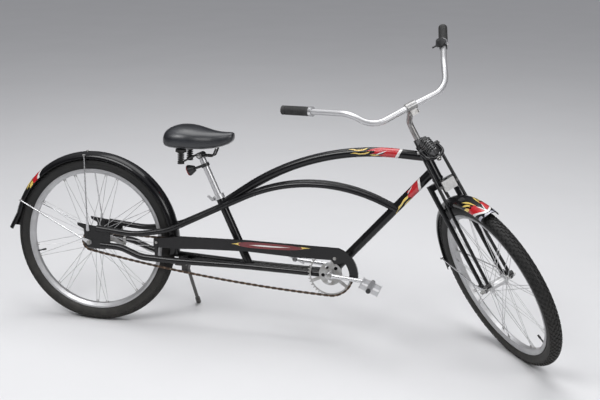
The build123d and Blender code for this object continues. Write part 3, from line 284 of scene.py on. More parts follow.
def placed_group(tree, name, **values):
    inputs = {label.replace("_", " "): value for label, value in values.items()}
    return node(tree, "ShaderNodeGroup", inputs, node_tree=GROUPS[name]).outputs


def finish(name, color, second, roughness=0.4, spread=0.1, metallic=0.0, coat=0.0, coat_roughness=0.05,
           patch=12.0, grain=900.0, relief=0.05, relief_depth=0.0002, dust=0.0, dust_reach=0.75, specular=0.5,
           lines=None, leather=None):
    """Procedural material that drifts between two colours, with uneven gloss, relief, and dust near the floor."""
    made = bpy.data.materials.new(name)
    made.use_nodes = True
    tree = made.node_tree
    body = placed_group(tree, "uneven_finish", Color=color, Second_Color=second, Roughness=roughness,
                        Roughness_Spread=spread, Patch_Scale=patch, Grain_Scale=grain)
    top, height = body, body["Height"]
    if dust:
        top = placed_group(tree, "road_dust", Color=body["Color"], Roughness=body["Roughness"], Amount=dust,
                           Reach=dust_reach)
    if lines:
        height = placed_group(tree, "turned_lines", Centre=lines[0], Axis=lines[1], Lines=lines[2])["Height"]
    if leather:
        height = placed_group(tree, "leather_grain", Scale=leather)["Height"]
    bump = node(tree, "ShaderNodeBump", {"Strength": relief, "Distance": relief_depth, "Height": height})
    for label, value in {
            "Metallic": metallic, "Coat Weight": coat, "Coat Roughness": coat_roughness,
            "Specular IOR Level": specular, "Base Color": top["Color"], "Roughness": top["Roughness"],
            "Normal": bump.outputs[0]}.items():
        feed(tree, tree.nodes["Principled BSDF"].inputs[label], value)
    return made


LOOKS = {}


def build_looks():
    """Every finish of the bicycle, once."""
    c = colours()
    LOOKS["paint"] = finish(
        "gloss_black_paint", c.paint, (0.008, 0.008, 0.009), 0.26, 0.08, coat=0.35, coat_roughness=0.03, patch=7,
        grain=420, relief=0.04, relief_depth=0.0001, dust=0.04, dust_reach=0.6, specular=0.22)
    LOOKS["satin_black"] = finish(
        "satin_black_metal", (0.014, 0.014, 0.015), (0.022, 0.021, 0.02), 0.42, 0.15, coat=0.3, patch=40, dust=0.2)
    for end, wheel in (("rear", REAR_WHEEL), ("front", FRONT_WHEEL)):
        LOOKS["rim_" + end] = finish(
            f"{end}_rim_grey_alloy", (0.52, 0.52, 0.53), (0.42, 0.42, 0.43), 0.38, 0.1, metallic=0.6, patch=16,
            relief=0.25, relief_depth=0.0001, dust=0.08, lines=(wheel.translation, wheel.col[1].xyz, 2600.0))
    LOOKS["steel"] = finish(
        "plated_steel", 0.5, (0.34, 0.33, 0.31), 0.34, 0.15, metallic=0.75, patch=55, dust=0.1)
    LOOKS["spoke"] = finish("spoke_wire", (0.66, 0.66, 0.67), 0.5, 0.34, 0.1, metallic=0.5, patch=30)
    LOOKS["bright"] = finish(
        "bright_chrome", (0.7, 0.7, 0.71), (0.6, 0.6, 0.61), 0.26, 0.1, metallic=0.8, patch=18, relief=0.02)
    LOOKS["bar"] = finish(
        "polished_bar", (0.62, 0.62, 0.63), (0.55, 0.55, 0.56), 0.36, 0.08, metallic=0.7, patch=14, relief=0.02)
    LOOKS["stem"] = finish(
        "cast_stem", 0.36, (0.27, 0.26, 0.25), 0.4, 0.12, metallic=0.75, patch=40, dust=0.1)
    LOOKS["coil"] = finish(
        "black_coil", (0.05, 0.05, 0.052), 0.03, 0.2, 0.06, coat=0.8, coat_roughness=0.03, patch=30)
    LOOKS["ring"] = finish(
        "dark_steel", 0.24, (0.16, 0.15, 0.145), 0.4, 0.15, metallic=0.8, patch=70, dust=0.1)
    LOOKS["tyre"] = finish(
        "tyre_rubber", c.tyre, (0.017, 0.0165, 0.016), 0.58, 0.12, patch=22, grain=2400, relief=0.3,
        relief_depth=0.0002, dust=0.12, dust_reach=0.5, specular=0.35)
    LOOKS["chain"] = finish(
        "oiled_rusty_chain", c.chain, (0.10, 0.06, 0.035), 0.45, 0.2, metallic=0.5, patch=160, grain=3000,
        relief=0.3, relief_depth=0.0002)
    # Inner links lighter and browner than the outer ones: a rust tone with a painted highlight, so the links
    # alternate dark and bright.
    LOOKS["chain_inner"] = finish(
        "rusty_chain_painted_highlight", (0.2, 0.17, 0.14), (0.24, 0.14, 0.08), 0.42, 0.2, metallic=0.6, patch=120, grain=3000,
        relief=0.3, relief_depth=0.0002)
    LOOKS["vinyl"] = finish(
        "saddle_vinyl", (0.009, 0.010, 0.013), (0.016, 0.018, 0.023), 0.36, 0.1, coat=0.5, coat_roughness=0.28,
        patch=18, relief=0.3, relief_depth=0.0004, leather=520.0)
    LOOKS["grip"] = finish("grip_rubber", 0.02, 0.03, 0.6, 0.1, patch=60, relief=0.25)
    LOOKS["plastic"] = finish("black_plastic", (0.018, 0.018, 0.019), (0.026, 0.026, 0.027), 0.35, 0.08, patch=60)
    LOOKS["red_lens"] = finish(
        "red_reflector", (0.35, 0.006, 0.008), (0.24, 0.004, 0.006), 0.15, 0.05, coat=1.0, patch=90,
        relief=0.9, relief_depth=0.0006, leather=360.0)
    LOOKS["white_lens"] = finish(
        "clear_reflector", (0.46, 0.455, 0.45), (0.34, 0.335, 0.33), 0.2, 0.05, coat=0.6, patch=140,
        relief=0.9, relief_depth=0.0006, leather=360.0)
    # The guard's flames use the flame red darkened to a third: painted shade on the guard, the same red as the other
    # flames.
    LOOKS["painted_shade_red"] = finish(
        "guard_red", tuple(v * 0.32 for v in c.flame_red), (0.11, 0.01, 0.016), 0.3, 0.08, coat=0.9, patch=70)
    for look, name, color, second, roughness, patch in (
            ("red", "flame_red", c.flame_red, (0.42, 0.01, 0.015), 0.28, 70),
            ("yellow", "flame_yellow", c.flame_yellow, (0.72, 0.46, 0.09), 0.3, 90),
            ("white", "flame_white", c.flame_white, (0.66, 0.65, 0.64), 0.3, 60),
            ("grey_panel", "pale_panel", (0.45, 0.45, 0.5), (0.3, 0.3, 0.36), 0.3, 90)):
        LOOKS[look] = finish(name, color, second, roughness, 0.08, coat=0.9, patch=patch, relief=0.03)


# Modelling helpers

def edit_all():
    """Enter edit mode with everything selected."""
    bpy.ops.object.mode_set(mode="EDIT")
    bpy.ops.mesh.select_all(action="SELECT")


def leave_edit():
    bpy.ops.object.mode_set(mode="OBJECT")


def clear_selection():
    if bpy.context.object and bpy.context.object.mode != "OBJECT":
        leave_edit()
    bpy.ops.object.select_all(action="DESELECT")


def pick(*pieces):
    clear_selection()
    for piece in pieces:
        piece.select_set(True)
    bpy.context.view_layer.objects.active = pieces[0]
    return pieces[0]


def apply_place(piece):
    """Bake a piece's place, turn and scale into its mesh."""
    pick(piece)
    bpy.ops.object.transform_apply(location=True, rotation=True, scale=True)


def select_where(piece, kind, test):
    """Enter edit mode with only those vertices or edges selected that pass the test."""
    bpy.ops.object.mode_set(mode="EDIT")
    bpy.ops.mesh.select_mode(type=kind)
    bpy.ops.mesh.select_all(action="DESELECT")
    leave_edit()
    for part in piece.data.vertices if kind == "VERT" else piece.data.edges:
        part.select = test(part)
    bpy.ops.object.mode_set(mode="EDIT")


def apply_modifiers(piece):
    pick(piece)
    for modifier in list(piece.modifiers):
        bpy.ops.object.modifier_apply(modifier=modifier.name)


def join(name, pieces):
    pick(*pieces)
    if len(pieces) > 1:
        bpy.ops.object.join()
    joined = bpy.context.object
    joined.name = joined.data.name = name
    return joined


def tidy_mesh(piece, merge=1e-6, smooth=40):
    """Merge doubles, turn faces outwards and smooth all but the sharp edges."""
    pick(piece)
    edit_all()
    bpy.ops.mesh.remove_doubles(threshold=merge)
    bpy.ops.mesh.normals_make_consistent(inside=False)
    leave_edit()
    if smooth:
        bpy.ops.object.shade_smooth_by_angle(angle=math.radians(smooth))
    return piece


def settle(piece, place, body, look, stands_for=()):
    """Put a finished piece in its place, with its finish, riding on its body."""
    piece.matrix_world = place @ piece.matrix_world
    apply_place(piece)
    piece.data.materials.clear()
    piece.data.materials.append(LOOKS[look])
    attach(piece, body)
    if stands_for:
        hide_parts(*stands_for)
    return piece


def curve_mesh(name, kind, points, closed=False, **settings):
    """Mesh made from a curve through points, POLY or BEZIER, where a fourth value marks a sharp corner."""
    clear_selection()
    curve = bpy.data.curves.new(name, "CURVE")
    for setting, value in settings.items():
        setattr(curve, setting, value)
    spline = curve.splines.new(kind)
    dots = spline.points if kind == "POLY" else spline.bezier_points
    dots.add(len(points) - 1)
    for dot, (x, y, z, *sharp) in zip(dots, points):
        if kind == "POLY":
            dot.co = (x, y, z, 1)
        else:
            dot.co = (x, y, z)
            dot.handle_left_type = dot.handle_right_type = "VECTOR" if sharp else "AUTO"
    spline.use_cyclic_u = closed
    drawn = bpy.data.objects.new(name, curve)
    bpy.context.scene.collection.objects.link(drawn)
    pick(drawn)
    bpy.ops.object.convert(target="MESH")
    return bpy.context.object


def drawn_line(name, points, closed=False):
    """Poly line through the points as a mesh of edges."""
    return curve_mesh(name, "POLY", points, closed, dimensions="3D")


def spun(name, profile, steps, axis=(0, 0, 1), closed=False):
    """Spin a profile of points all round an axis through the origin."""
    piece = drawn_line(name, profile, closed)
    edit_all()
    bpy.ops.mesh.spin(steps=steps, angle=2 * math.pi, center=(0, 0, 0), axis=axis)
    leave_edit()
    return tidy_mesh(piece)


def close_holes():
    """In edit mode, cap every open end."""
    bpy.ops.mesh.select_all(action="DESELECT")
    bpy.ops.mesh.select_mode(type="EDGE")
    bpy.ops.mesh.select_non_manifold(extend=False, use_wire=False, use_boundary=True, use_multi_face=False,
                                     use_non_contiguous=False, use_verts=False)
    bpy.ops.mesh.edge_face_add()
    bpy.ops.mesh.select_mode(type="VERT")


def ring_array(piece, count):
    """Repeat a piece round the axle with an array that an empty turns, and apply it."""
    clear_selection()
    bpy.ops.object.empty_add(location=(0, 0, 0))
    guide = bpy.context.object
    guide.rotation_euler.y = 2 * math.pi / count
    bpy.context.view_layer.update()
    array = piece.modifiers.new("round", "ARRAY")
    array.count = count
    array.use_relative_offset = False
    array.use_object_offset = True
    array.offset_object = guide
    apply_modifiers(piece)
    pick(guide)
    bpy.ops.object.delete()
    return piece


def round_bar(start, end, first, last, flat=1.0, sides=20, bevel=0.0):
    """Tapered round bar between two points, flattened across and with its ends bevelled."""
    run = Vector(end) - Vector(start)
    long = run.length * MM
    clear_selection()
    bpy.ops.mesh.primitive_cylinder_add(vertices=sides, radius=first * MM, depth=long, location=(0, 0, long / 2))
    bar = bpy.context.object
    apply_place(bar)
    select_where(bar, "VERT", lambda vertex: vertex.co.z > long - 1e-6)
    bpy.ops.transform.resize(value=(last / first, last / first, 1), center_override=(0, 0, long))
    bpy.ops.mesh.select_all(action="SELECT")
    if bevel:
        bpy.ops.mesh.bevel(offset=bevel * MM, segments=2)
    leave_edit()
    way = run.normalized()
    side = Vector((0, 1, 0)) if abs(way.y) < 0.5 else Vector((1, 0, 0))
    bar.matrix_world = axes_matrix(Vector(start) * MM, side.cross(way).normalized(), side * flat, way)
    return bar


def bolt_head(place, radius, height, dome=False):
    """Hexagon or domed head with a washer under it, its foot at the place's origin and up its Z."""
    parts = []
    for sides, wide, tall, foot, round_off, segments in (
            (20, 1.45, 0.25, 0, 0.06, 1),
            (16 if dome else 6, 1.1, 0.75, 0.25, 0.3 if dome else 0.12, 3 if dome else 2)):
        clear_selection()
        bpy.ops.mesh.primitive_cylinder_add(
            vertices=sides, radius=radius * wide, depth=height * tall, location=(0, 0, height * (foot + tall / 2)))
        edit_all()
        bpy.ops.mesh.bevel(offset=height * round_off, segments=segments)
        leave_edit()
        parts.append(bpy.context.object)
    bolt = join("bolt", parts)
    bolt.matrix_world = place @ bolt.matrix_world
    return tidy_mesh(bolt, smooth=35)


def turned(degrees):
    """Turn about the axles' direction."""
    return Matrix.Rotation(math.radians(degrees), 4, "Y")


def upright_on(point, normal):
    """Place whose Z runs along the normal."""
    turn = Vector(normal).to_track_quat("Z", "Y").to_matrix().to_4x4()
    return Matrix.Translation(Vector(point) * MM) @ turn


# Tyres

TYRE_SECTION = 27.0
RIB_STEPS, RIB_RISE = (8, 10), 0.5                       # of the 14 steps to each side
BEAD_HALF, BEAD_SEAT, BEAD_INNER = 13.4, 284.3, 278.5
TREAD_SINK = 0.8                                         # depth of the blocks in the carcass
TREAD_ROWS = [  # angle round the section to each side, width, length, shift along the row
    (0, 7.0, 13.5, 0.0),
    (18, 6.6, 12.5, 0.5),
    (35, 6.2, 14.0, 0.0),
    (52, 6.0, 10.5, 0.5),
    (67, 3.2, 13.0, 0.0),
]


def tyre_profile(rise):
    """Closed section of a tyre carcass, as (radius, across, 0)."""
    points = []
    for step in range(-14, 15):
        turn = math.radians(step * 9.4)
        bulge = TYRE_SECTION * MM - rise + (RIB_RISE * MM if abs(step) in RIB_STEPS else 0)
        points.append((TYRE_RING * MM + bulge * math.cos(turn), bulge * math.sin(turn), 0))
    bead = [(BEAD_SEAT, BEAD_HALF), (BEAD_INNER, BEAD_HALF), (BEAD_INNER, -BEAD_HALF), (BEAD_SEAT, -BEAD_HALF)]
    return points + [(r * MM, y * MM, 0) for r, y in bead]


def make_tyre(end, place):
    """Carcass with side ribs, and rows of small tread blocks."""
    rise, count = sizes().tread_rise, sizes().tread_pitch
    carcass = spun(f"{end}_carcass", tyre_profile(rise), 120, axis=(0, 1, 0), closed=True)
    rows = []
    out = (TYRE_SECTION - TREAD_SINK / 2) * MM - rise / 2
    for angle, width, length, shift in TREAD_ROWS:
        for side in (1, -1) if angle else (1,):
            turn = math.radians(side * angle)
            centre = (TYRE_RING * MM + out * math.cos(turn), out * math.sin(turn), 0)
            clear_selection()
            bpy.ops.mesh.primitive_cube_add(size=1, location=centre, rotation=(0, 0, turn))
            row = bpy.context.object
            row.scale = (rise + TREAD_SINK * MM, width * MM, length * MM)
            apply_place(row)
            edit_all()
            bpy.ops.mesh.bevel(offset=0.5 * MM, segments=1)
            leave_edit()
            row.matrix_world = turned(shift * 360 / count) @ row.matrix_world
            apply_place(row)
            rows.append(ring_array(row, count))
    tread = join(f"{end}_tread", rows)
    tyre = join(f"{end}_tyre_dressed", [carcass, tread])
    return settle(tyre, place, f"{end}_wheel", "tyre", [f"{end}_tyre"])


class CRUISER_OT_tyres(bpy.types.Operator):
    """Both tyres with their ribs and tread blocks"""
    bl_idname = "cruiser.tyres"
    bl_label = "Tyres"

    def execute(self, context):
        make_tyre("rear", REAR_WHEEL)
        make_tyre("front", FRONT_WHEEL)
        return {"FINISHED"}


# Wheel trim

def make_wheel_trim(end, place, valve_turn):
    """Nipples at the rim and the tyre's valve."""
    nipples = []
    for side in (1, -1):
        for lean in (1, -1):
            nipple = round_bar((RIM_INNER + 1, side * 4, 0), (RIM_INNER - 10, side * 4, 0), 2.4, 1.5, sides=8,
                               bevel=0.3)
            turn = (SPOKE_STEP if lean > 0 else 0) + (SPOKE_STEP / 2 if side < 0 else 0) + lean * SPOKE_CROSS
            nipple.matrix_world = turned(-turn) @ nipple.matrix_world
            apply_place(nipple)
            nipples.append(ring_array(nipple, SPOKES // 4))
    trim = tidy_mesh(join(f"{end}_nipples", nipples), smooth=50)
    settle(trim, place, f"{end}_wheel", "steel")
    stem = round_bar((RIM_INNER + 1, 0, 0), (RIM_INNER - 26, 0, 0), 3, 2.8, sides=14, bevel=0.4)
    cap = round_bar((RIM_INNER - 21, 0, 0), (RIM_INNER - 35, 0, 0), 4.2, 3.8, sides=14, bevel=0.8)
    valve = tidy_mesh(join(f"{end}_valve", [cap, stem]), smooth=50)
    valve.matrix_world = turned(valve_turn) @ valve.matrix_world
    settle(valve, place, f"{end}_wheel", "grip")


class CRUISER_OT_wheel_trim(bpy.types.Operator):
    """Spoke nipples and valves"""
    bl_idname = "cruiser.wheel_trim"
    bl_label = "Wheel trim"

    def execute(self, context):
        make_wheel_trim("rear", REAR_WHEEL, 164)
        make_wheel_trim("front", FRONT_WHEEL, 60)
        return {"FINISHED"}


# Fenders

def fender_point(across):
    """Radius and width of the fender's rounded section at a share from -1 to 1 of its edge."""
    turn = across * math.pi / 2
    return FENDER_RADIUS - FENDER_DROP * (1 - math.cos(turn)), FENDER_HALF * math.sin(turn)


def fender_section():
    """Closed outline of a fender's sheet with its edges rolled inwards."""
    steps = 24
    outside = [fender_point(-1 + 2 * n / steps) for n in range(steps + 1)]
    inside = [(r - FENDER_WALL, y * 0.95) for r, y in reversed(outside)]
    r, y = outside[-1]
    roll = [(r - 1.5, y), (r - 2.6, y - 1.0), (r - 2.2, y - 2.2)]
    back = [(q, -w) for q, w in reversed(roll)]
    return outside + roll + inside + back


def swept(name, outline, low, high, steps):
    """In edit mode, a closed outline turned about the axle from one angle to another, with its end selected."""
    piece = drawn_line(name, outline, True)
    piece.matrix_world = turned(-low)
    apply_place(piece)
    edit_all()
    bpy.ops.mesh.edge_face_add()
    bpy.ops.mesh.select_all(action="SELECT")
    bpy.ops.mesh.spin(steps=steps, angle=math.radians(high - low), center=(0, 0, 0), axis=(0, 1, 0))
    return piece


def make_fender(name, place, body, low, high, node_name, flare=None):
    """Rounded fender swept between two angles, closed at both ends."""
    outline = [(r * MM, y * MM, 0) for r, y in fender_section()]
    fender = swept(name, outline, low, high, round((high - low) / 2.5))
    if flare:
        length, turn = flare
        way = math.radians(high + 90 - turn)
        for share in (0.35, 0.65):
            step = length * share * MM
            bpy.ops.mesh.extrude_region_move(
                TRANSFORM_OT_translate={"value": (step * math.cos(way), 0, step * math.sin(way))})
    close_holes()
    leave_edit()
    tidy_mesh(fender, smooth=30)
    return settle(fender, place, body, "paint", [node_name])


class CRUISER_OT_fenders(bpy.types.Operator):
    """Rounded fenders with rolled edges"""
    bl_idname = "cruiser.fenders"
    bl_label = "Fenders"

    def execute(self, context):
        make_fender("rear_fender_dressed", REAR_WHEEL, "frame", -6, 166, "rear_fender", (70, 14))
        make_fender("front_fender_dressed", FRONT_WHEEL, "fork", FRONT_FENDER_START, 168.5, "front_fender")
        return {"FINISHED"}


# Springs

COIL_RADIUS, COIL_WIRE = 20.4, 3.0
COIL_START, CAP_LENGTH, CAP_GAP = 8.3, 22, 6.2           # from the perch, and back from the hoop


def make_coil(radius, wire, length, turns):
    """Coil of even pitch up Z from the origin."""
    clear_selection()
    bpy.ops.mesh.primitive_circle_add(
        vertices=12, radius=wire, fill_type="NGON", location=(radius, 0, wire), rotation=(math.pi / 2, 0, 0))
    coil = bpy.context.object
    apply_place(coil)
    screw = coil.modifiers.new("turns", "SCREW")
    screw.angle = 2 * math.pi * turns
    screw.screw_offset = length - 2 * wire
    screw.steps = screw.render_steps = 24 * turns
    screw.use_merge_vertices = True
    apply_modifiers(coil)
    return tidy_mesh(coil, smooth=60)


class CRUISER_OT_springs(bpy.types.Operator):
    """Fork's coil between its perch and hoop"""
    bl_idname = "cruiser.springs"
    bl_label = "Springs"

    def execute(self, context):
        run = SPRING_FOOT - SPRING_TOP
        length = run.length - COIL_START - CAP_LENGTH
        tip = run.length - COIL_START - CAP_GAP
        coil = make_coil(COIL_RADIUS * MM, COIL_WIRE * MM, length * MM, sizes().spring_turns)
        outline = [(0, length), (22, length), (22, length + 2), (10, tip), (0, tip)]
        cap = spun("spring_cap", [(r * MM, 0, z * MM) for r, z in outline], 40)
        outline = [(0, 0), (7, 0), (7, length), (0, length)]
        core = spun("spring_core", [(r * MM, 0, z * MM) for r, z in outline], 24)
        whole = join("fork_spring_dressed", [coil, cap, core])
        place = FORK @ upright_on(SPRING_TOP + run.normalized() * COIL_START, run)
        settle(whole, place, "fork", "coil", ["fork_spring"])
        nut = bolt_head(upright_on(SPRING_FOOT + run.normalized() * 6, run), 6.5 * MM, 9 * MM)
        nut.name = nut.data.name = "spring_nut"
        settle(nut, FORK, "fork", "steel")
        return {"FINISHED"}


# Saddle

SADDLE_ROWS = [  # x, half width, low, high, in millimetres
    (300, 34, 414, 438),
    (304, 66, 402, 456),
    (320, 92, 394, 470),
    (350, 101, 391, 481),
    (388, 101, 390, 482),
    (424, 90, 391, 477),
    (458, 71, 392, 469),
    (492, 48, 396, 462),
    (524, 36, 405, 460),
    (547, 30, 415, 461),
    (563, 20, 427, 461),
    (567, 9, 438, 453),
]


SADDLE_EDGE = 0.42                                       # height of the saddle's edge in each row


def saddle_row():
    """Outline of one row, as wide as 1 to each side and as high as 1, with its edge at zero."""
    points = []
    for n in range(24):
        turn = 2 * math.pi * n / 24
        across, up = math.cos(turn), math.sin(turn)
        width = math.copysign(abs(across) ** 0.8, across)
        rise = (1 - SADDLE_EDGE) * abs(up) ** 0.9 if up >= 0 else -SADDLE_EDGE * abs(up) ** 0.55
        points.append((0, width, rise))
    return points


def make_saddle():
    """Wide padded saddle with a narrow nose, extruded row by row and smoothed."""
    saddle = drawn_line("saddle_dressed", saddle_row(), True)
    spot, half, low, high = SADDLE_ROWS[0]
    edge = low + (high - low) * SADDLE_EDGE
    saddle.matrix_world = Matrix.LocRotScale((spot * MM, 0, edge * MM), None, (1, half * MM, (high - low) * MM))
    apply_place(saddle)
    edit_all()
    bpy.ops.mesh.edge_face_add()
    for x, wide, bottom, top in SADDLE_ROWS[1:]:
        bpy.ops.mesh.extrude_region_move(TRANSFORM_OT_translate={"value": ((x - spot) * MM, 0, 0)})
        grow = (1, wide / half, (top - bottom) / (high - low))
        bpy.ops.transform.resize(value=grow, center_override=(x * MM, 0, edge * MM))
        rise = bottom + (top - bottom) * SADDLE_EDGE
        bpy.ops.transform.translate(value=(0, 0, (rise - edge) * MM))
        spot, half, low, high, edge = x, wide, bottom, top, rise
    leave_edit()
    tidy_mesh(saddle, smooth=0)
    smooth = saddle.modifiers.new("padding", "SUBSURF")
    smooth.levels = smooth.render_levels = 2
    apply_modifiers(saddle)
    tidy_mesh(saddle, smooth=180)
    settle(saddle, BIKE, "frame", "vinyl", ["saddle"])


class CRUISER_OT_saddle(bpy.types.Operator):
    """Padded vinyl saddle"""
    bl_idname = "cruiser.saddle"
    bl_label = "Saddle"

    def execute(self, context):
        make_saddle()
        return {"FINISHED"}


# Grips

def make_grips():
    """Ribbed grips with a chamfer at each inner end."""
    profile = [(0, -3.0), (14, -3.0), (17, -1.0), (17, 4)]
    for n in range(14):
        at = 8 + n * 7
        profile += [(15.6, at), (15.6, at + 1.6), (17, at + 2.4), (17, at + 6.2)]
    profile += [(17, 112), (16, 117), (11.4, 117)]
    points = [(r * MM, 0, z * MM) for r, z in profile] + [(11.4 * MM, 0, 0), (0, 0, 0)]
    pieces = []
    for side in (1, -1):
        grip = spun("grip", points, 40)
        end, corner = BAR_END.copy(), BAR_CORNER.copy()
        end.y *= side
        corner.y *= side
        grip.matrix_world = upright_on(end, corner - end)
        pieces.append(grip)
    grips = join("grips_dressed", pieces)
    settle(grips, FORK, "fork", "grip", ["grips"])


class CRUISER_OT_grips(bpy.types.Operator):
    """Rubber grips"""
    bl_idname = "cruiser.grips"
    bl_label = "Grips"

    def execute(self, context):
        make_grips()
        return {"FINISHED"}


# Flames

def arc_run(back, peak, front, reach, steps=36):
    """Centre line through a corner: an arc that starts at the reach from it, between straight runs."""
    a, p, b = Vector(back), Vector(peak), Vector(front)
    u, v = (a - p).normalized(), (b - p).normalized()
    half = u.angle(v) / 2
    radius = reach * math.tan(half)
    centre = p + (u + v).normalized() * radius / math.sin(half)
    start, end = p + u * reach - centre, p + v * reach - centre
    first, last = math.atan2(start.y, start.x), math.atan2(end.y, end.x)
    turns = [first + (last - first) * n / steps for n in range(steps + 1)]
    return [back] + [(centre.x + radius * math.cos(t), centre.y + radius * math.sin(t)) for t in turns] + [front]


def tube_blank(points, radius):
    """Round bar along a centre line of (x, z) points."""
    path = [(x * MM, 0, z * MM) for x, z in points]
    blank = curve_mesh("blank", "POLY", path, dimensions="3D", bevel_depth=radius * MM, bevel_resolution=8,
                       use_fill_caps=True)
    return tidy_mesh(blank, smooth=0)


def fender_blank(low, high, rise):
    """Thin skin just over a fender, between two angles."""
    outside, inside = [], []
    for n in range(25):
        r, y = fender_point(-1 + n / 12)
        out = Vector((r - FENDER_RADIUS + FENDER_HALF, y)).normalized()
        outside.append(((r + out.x * rise) * MM, (y + out.y * rise) * MM, 0))
        inside.append(((r - out.x * 0.9) * MM, (y - out.y * 0.9) * MM, 0))
    blank = swept("blank", outside + inside[::-1], low, high, round(high - low))
    close_holes()
    leave_edit()
    return tidy_mesh(blank, smooth=0)


def flat_shape(outline, depth, place):
    """Prism over an outline whose flow is rounded but for the corners marked sharp."""
    points = [(x * MM, y * MM, 0, *sharp) for x, y, *sharp in outline]
    shape = curve_mesh("shape", "BEZIER", points, True, dimensions="2D", fill_mode="BOTH", extrude=depth * MM / 2,
                       resolution_u=4)
    shape.matrix_world = place
    apply_place(shape)
    return tidy_mesh(shape, smooth=0)


def shared_part(blank, cutter):
    """Keep of the blank what lies inside the cutter."""
    pick(blank)
    common = blank.modifiers.new("cut", "BOOLEAN")
    common.operation = "INTERSECT"
    common.solver = "EXACT"
    common.object = cutter
    apply_modifiers(blank)
    pick(cutter)
    bpy.ops.object.delete()
    return blank


def inlay(name, outlines, make_blank, plane, place, body, look):
    """Shapes of one colour laid over a surface."""
    pieces = [shared_part(make_blank(), flat_shape(outline, CUT_DEPTH, plane)) for outline in outlines]
    piece = tidy_mesh(join(name, pieces))
    if not piece.data.polygons:
        raise RuntimeError(f"{name} came out empty")
    return settle(piece, place, body, look)


CUT_DEPTH, LAYER_RISE = 80, 0.05
TUBE_RADIUS = 17.5
FLAME_MIDDLE = 11                # degrees from the flames' front to where their outlines lie flat
TOP_FLAMES = {  # x and z of the upright bicycle
    "red": [
        [(1074, 424.5, 1), (1092, 432), (1116, 438), (1150, 441), (1200, 442, 1), (1180, 402, 1), (1150, 402, 1),
         (1134, 407), (1118, 411.5, 1), (1134, 417), (1140, 421), (1128, 421), (1108, 417), (1092, 417.5, 1),
         (1106, 424), (1094, 427)],
    ],
    "yellow": [
        [(1006, 424, 1), (1022, 428), (1040, 427), (1056, 429), (1080, 436, 1), (1070, 429), (1056, 424.5),
         (1040, 423), (1022, 425)],
        [(1016, 411, 1), (1032, 416), (1050, 415), (1066, 417), (1090, 424, 1), (1078, 415.5), (1064, 412),
         (1048, 411), (1032, 412.5)],
        [(1086, 412, 1), (1104, 414), (1124, 411.5, 1), (1104, 408.5)],
    ],
    "white": [
        [(1198, 443, 1), (1209, 443, 1), (1189, 401, 1), (1177, 401, 1)],
        [(1108, 411, 1), (1124, 417), (1140, 424), (1152, 432, 1), (1136, 426), (1120, 420)],
    ],
}
DOWN_FLAMES = {  # along the down tube from its top, and up from its axis
    "red": [
        [(62, 19, 1), (90, -19, 1), (138, -19, 1), (126, -11), (134, -4), (146, -1, 1), (128, 3), (116, 6),
         (124, 11), (106, 13), (96, 19, 1)],
    ],
    "yellow": [
        [(128, 2, 1), (150, 3), (168, -2), (186, -4), (214, -17, 1), (190, -11), (172, -9), (154, -5), (136, -6, 1)],
        [(126, -15, 1), (150, -12), (170, -17, 1), (150, -17)],
    ],
    "white": [
        [(52, 19, 1), (63, 19, 1), (92, -19, 1), (80, -19, 1)],
        [(92, 15, 1), (112, 9), (128, 5, 1), (112, 12)],
    ],
}
GUARD_FLAMES = {  # x and z of the upright bicycle
    # The guard's red flame takes the flame red darkened as painted shade.
    "painted_shade_red": [
        [(596, 44.5, 1), (614, 50), (640, 54.5), (700, 56.5), (760, 56.5), (820, 55), (850, 52), (870, 50.5, 1),
         (850, 44), (810, 38.5), (760, 35.5), (700, 34), (640, 34.5), (614, 38)],
    ],
    "yellow": [
        [(580, 43, 1), (598, 46.5), (616, 51, 1), (608, 44.5), (616, 38, 1), (598, 42)],
        [(889, 51.5, 1), (866, 53.5), (842, 54, 1), (856, 49.5), (846, 43.5, 1), (868, 49)],
    ],
    "white": [
        [(650, 44.5, 1), (700, 47.5), (760, 48), (812, 48, 1), (760, 44), (700, 42.5)],
    ],
}
FENDER_FLAMES = {  # along the fender from its flames' front, and across
    "red": [
        [(50, 36, 1), (46, 30), (33, 20), (22, 4, 1), (40, 6), (62, 8.5), (94, 13, 1), (77, 14.8), (76, 16.6),
         (97, 21, 1), (78, 22.3), (77, 24.4), (98, 29, 1), (80, 30.6, 1), (92, 36, 1)],
    ],
    "yellow": [
        [(68, 8.5, 1), (86, 9.5), (104, 11), (122, 15), (140, 23, 1), (120, 20), (104, 16.5), (90, 14, 1),
         (80, 11.5)],
        [(84, 18, 1), (98, 19), (112, 23), (126, 31, 1), (110, 28.5), (98, 24.5), (84, 22.5, 1), (92, 20.5)],
        [(84, 28, 1), (100, 30), (116, 35, 1), (108, 37, 1), (96, 34), (84, 32, 1)],
    ],
    "white": [
        [(64, 35, 1), (48, 29), (33, 19), (23, 8), (20, 0, 1), (11, 0, 1), (14, 9), (24, 20), (39, 30),
         (54, 36, 1)],
        [(19, 0, 1), (34, 1.2), (50, 5), (66, 11, 1), (48, 7.5), (34, 4), (19, 3, 1)],
    ],
}
FENDER_TIP = {  # only on the front fender
    "grey_panel": [
        [(2, 0, 1), (2, 11), (4, 20, 1), (9, 17), (12, 9), (7, 4, 1), (10, 0, 1)],
        [(8, 24, 1), (14, 33, 1), (26, 33, 1), (18, 24, 1)],
    ],
}


def layers(flames):
    """Each colour of the flames with its outlines and its height over the paint."""
    for layer, (look, outlines) in enumerate(flames.items()):
        yield look, outlines, sizes().decal_rise / MM + LAYER_RISE * layer


def tube_inlays(name, flames, path, plane):
    for look, outlines, rise in layers(flames):
        inlay(f"{name}_{look}", outlines, lambda: tube_blank(path, TUBE_RADIUS + rise), plane, BIKE, "frame", look)


def mirrored(outline):
    return [(x, -y, *sharp) for x, y, *sharp in reversed(outline)]


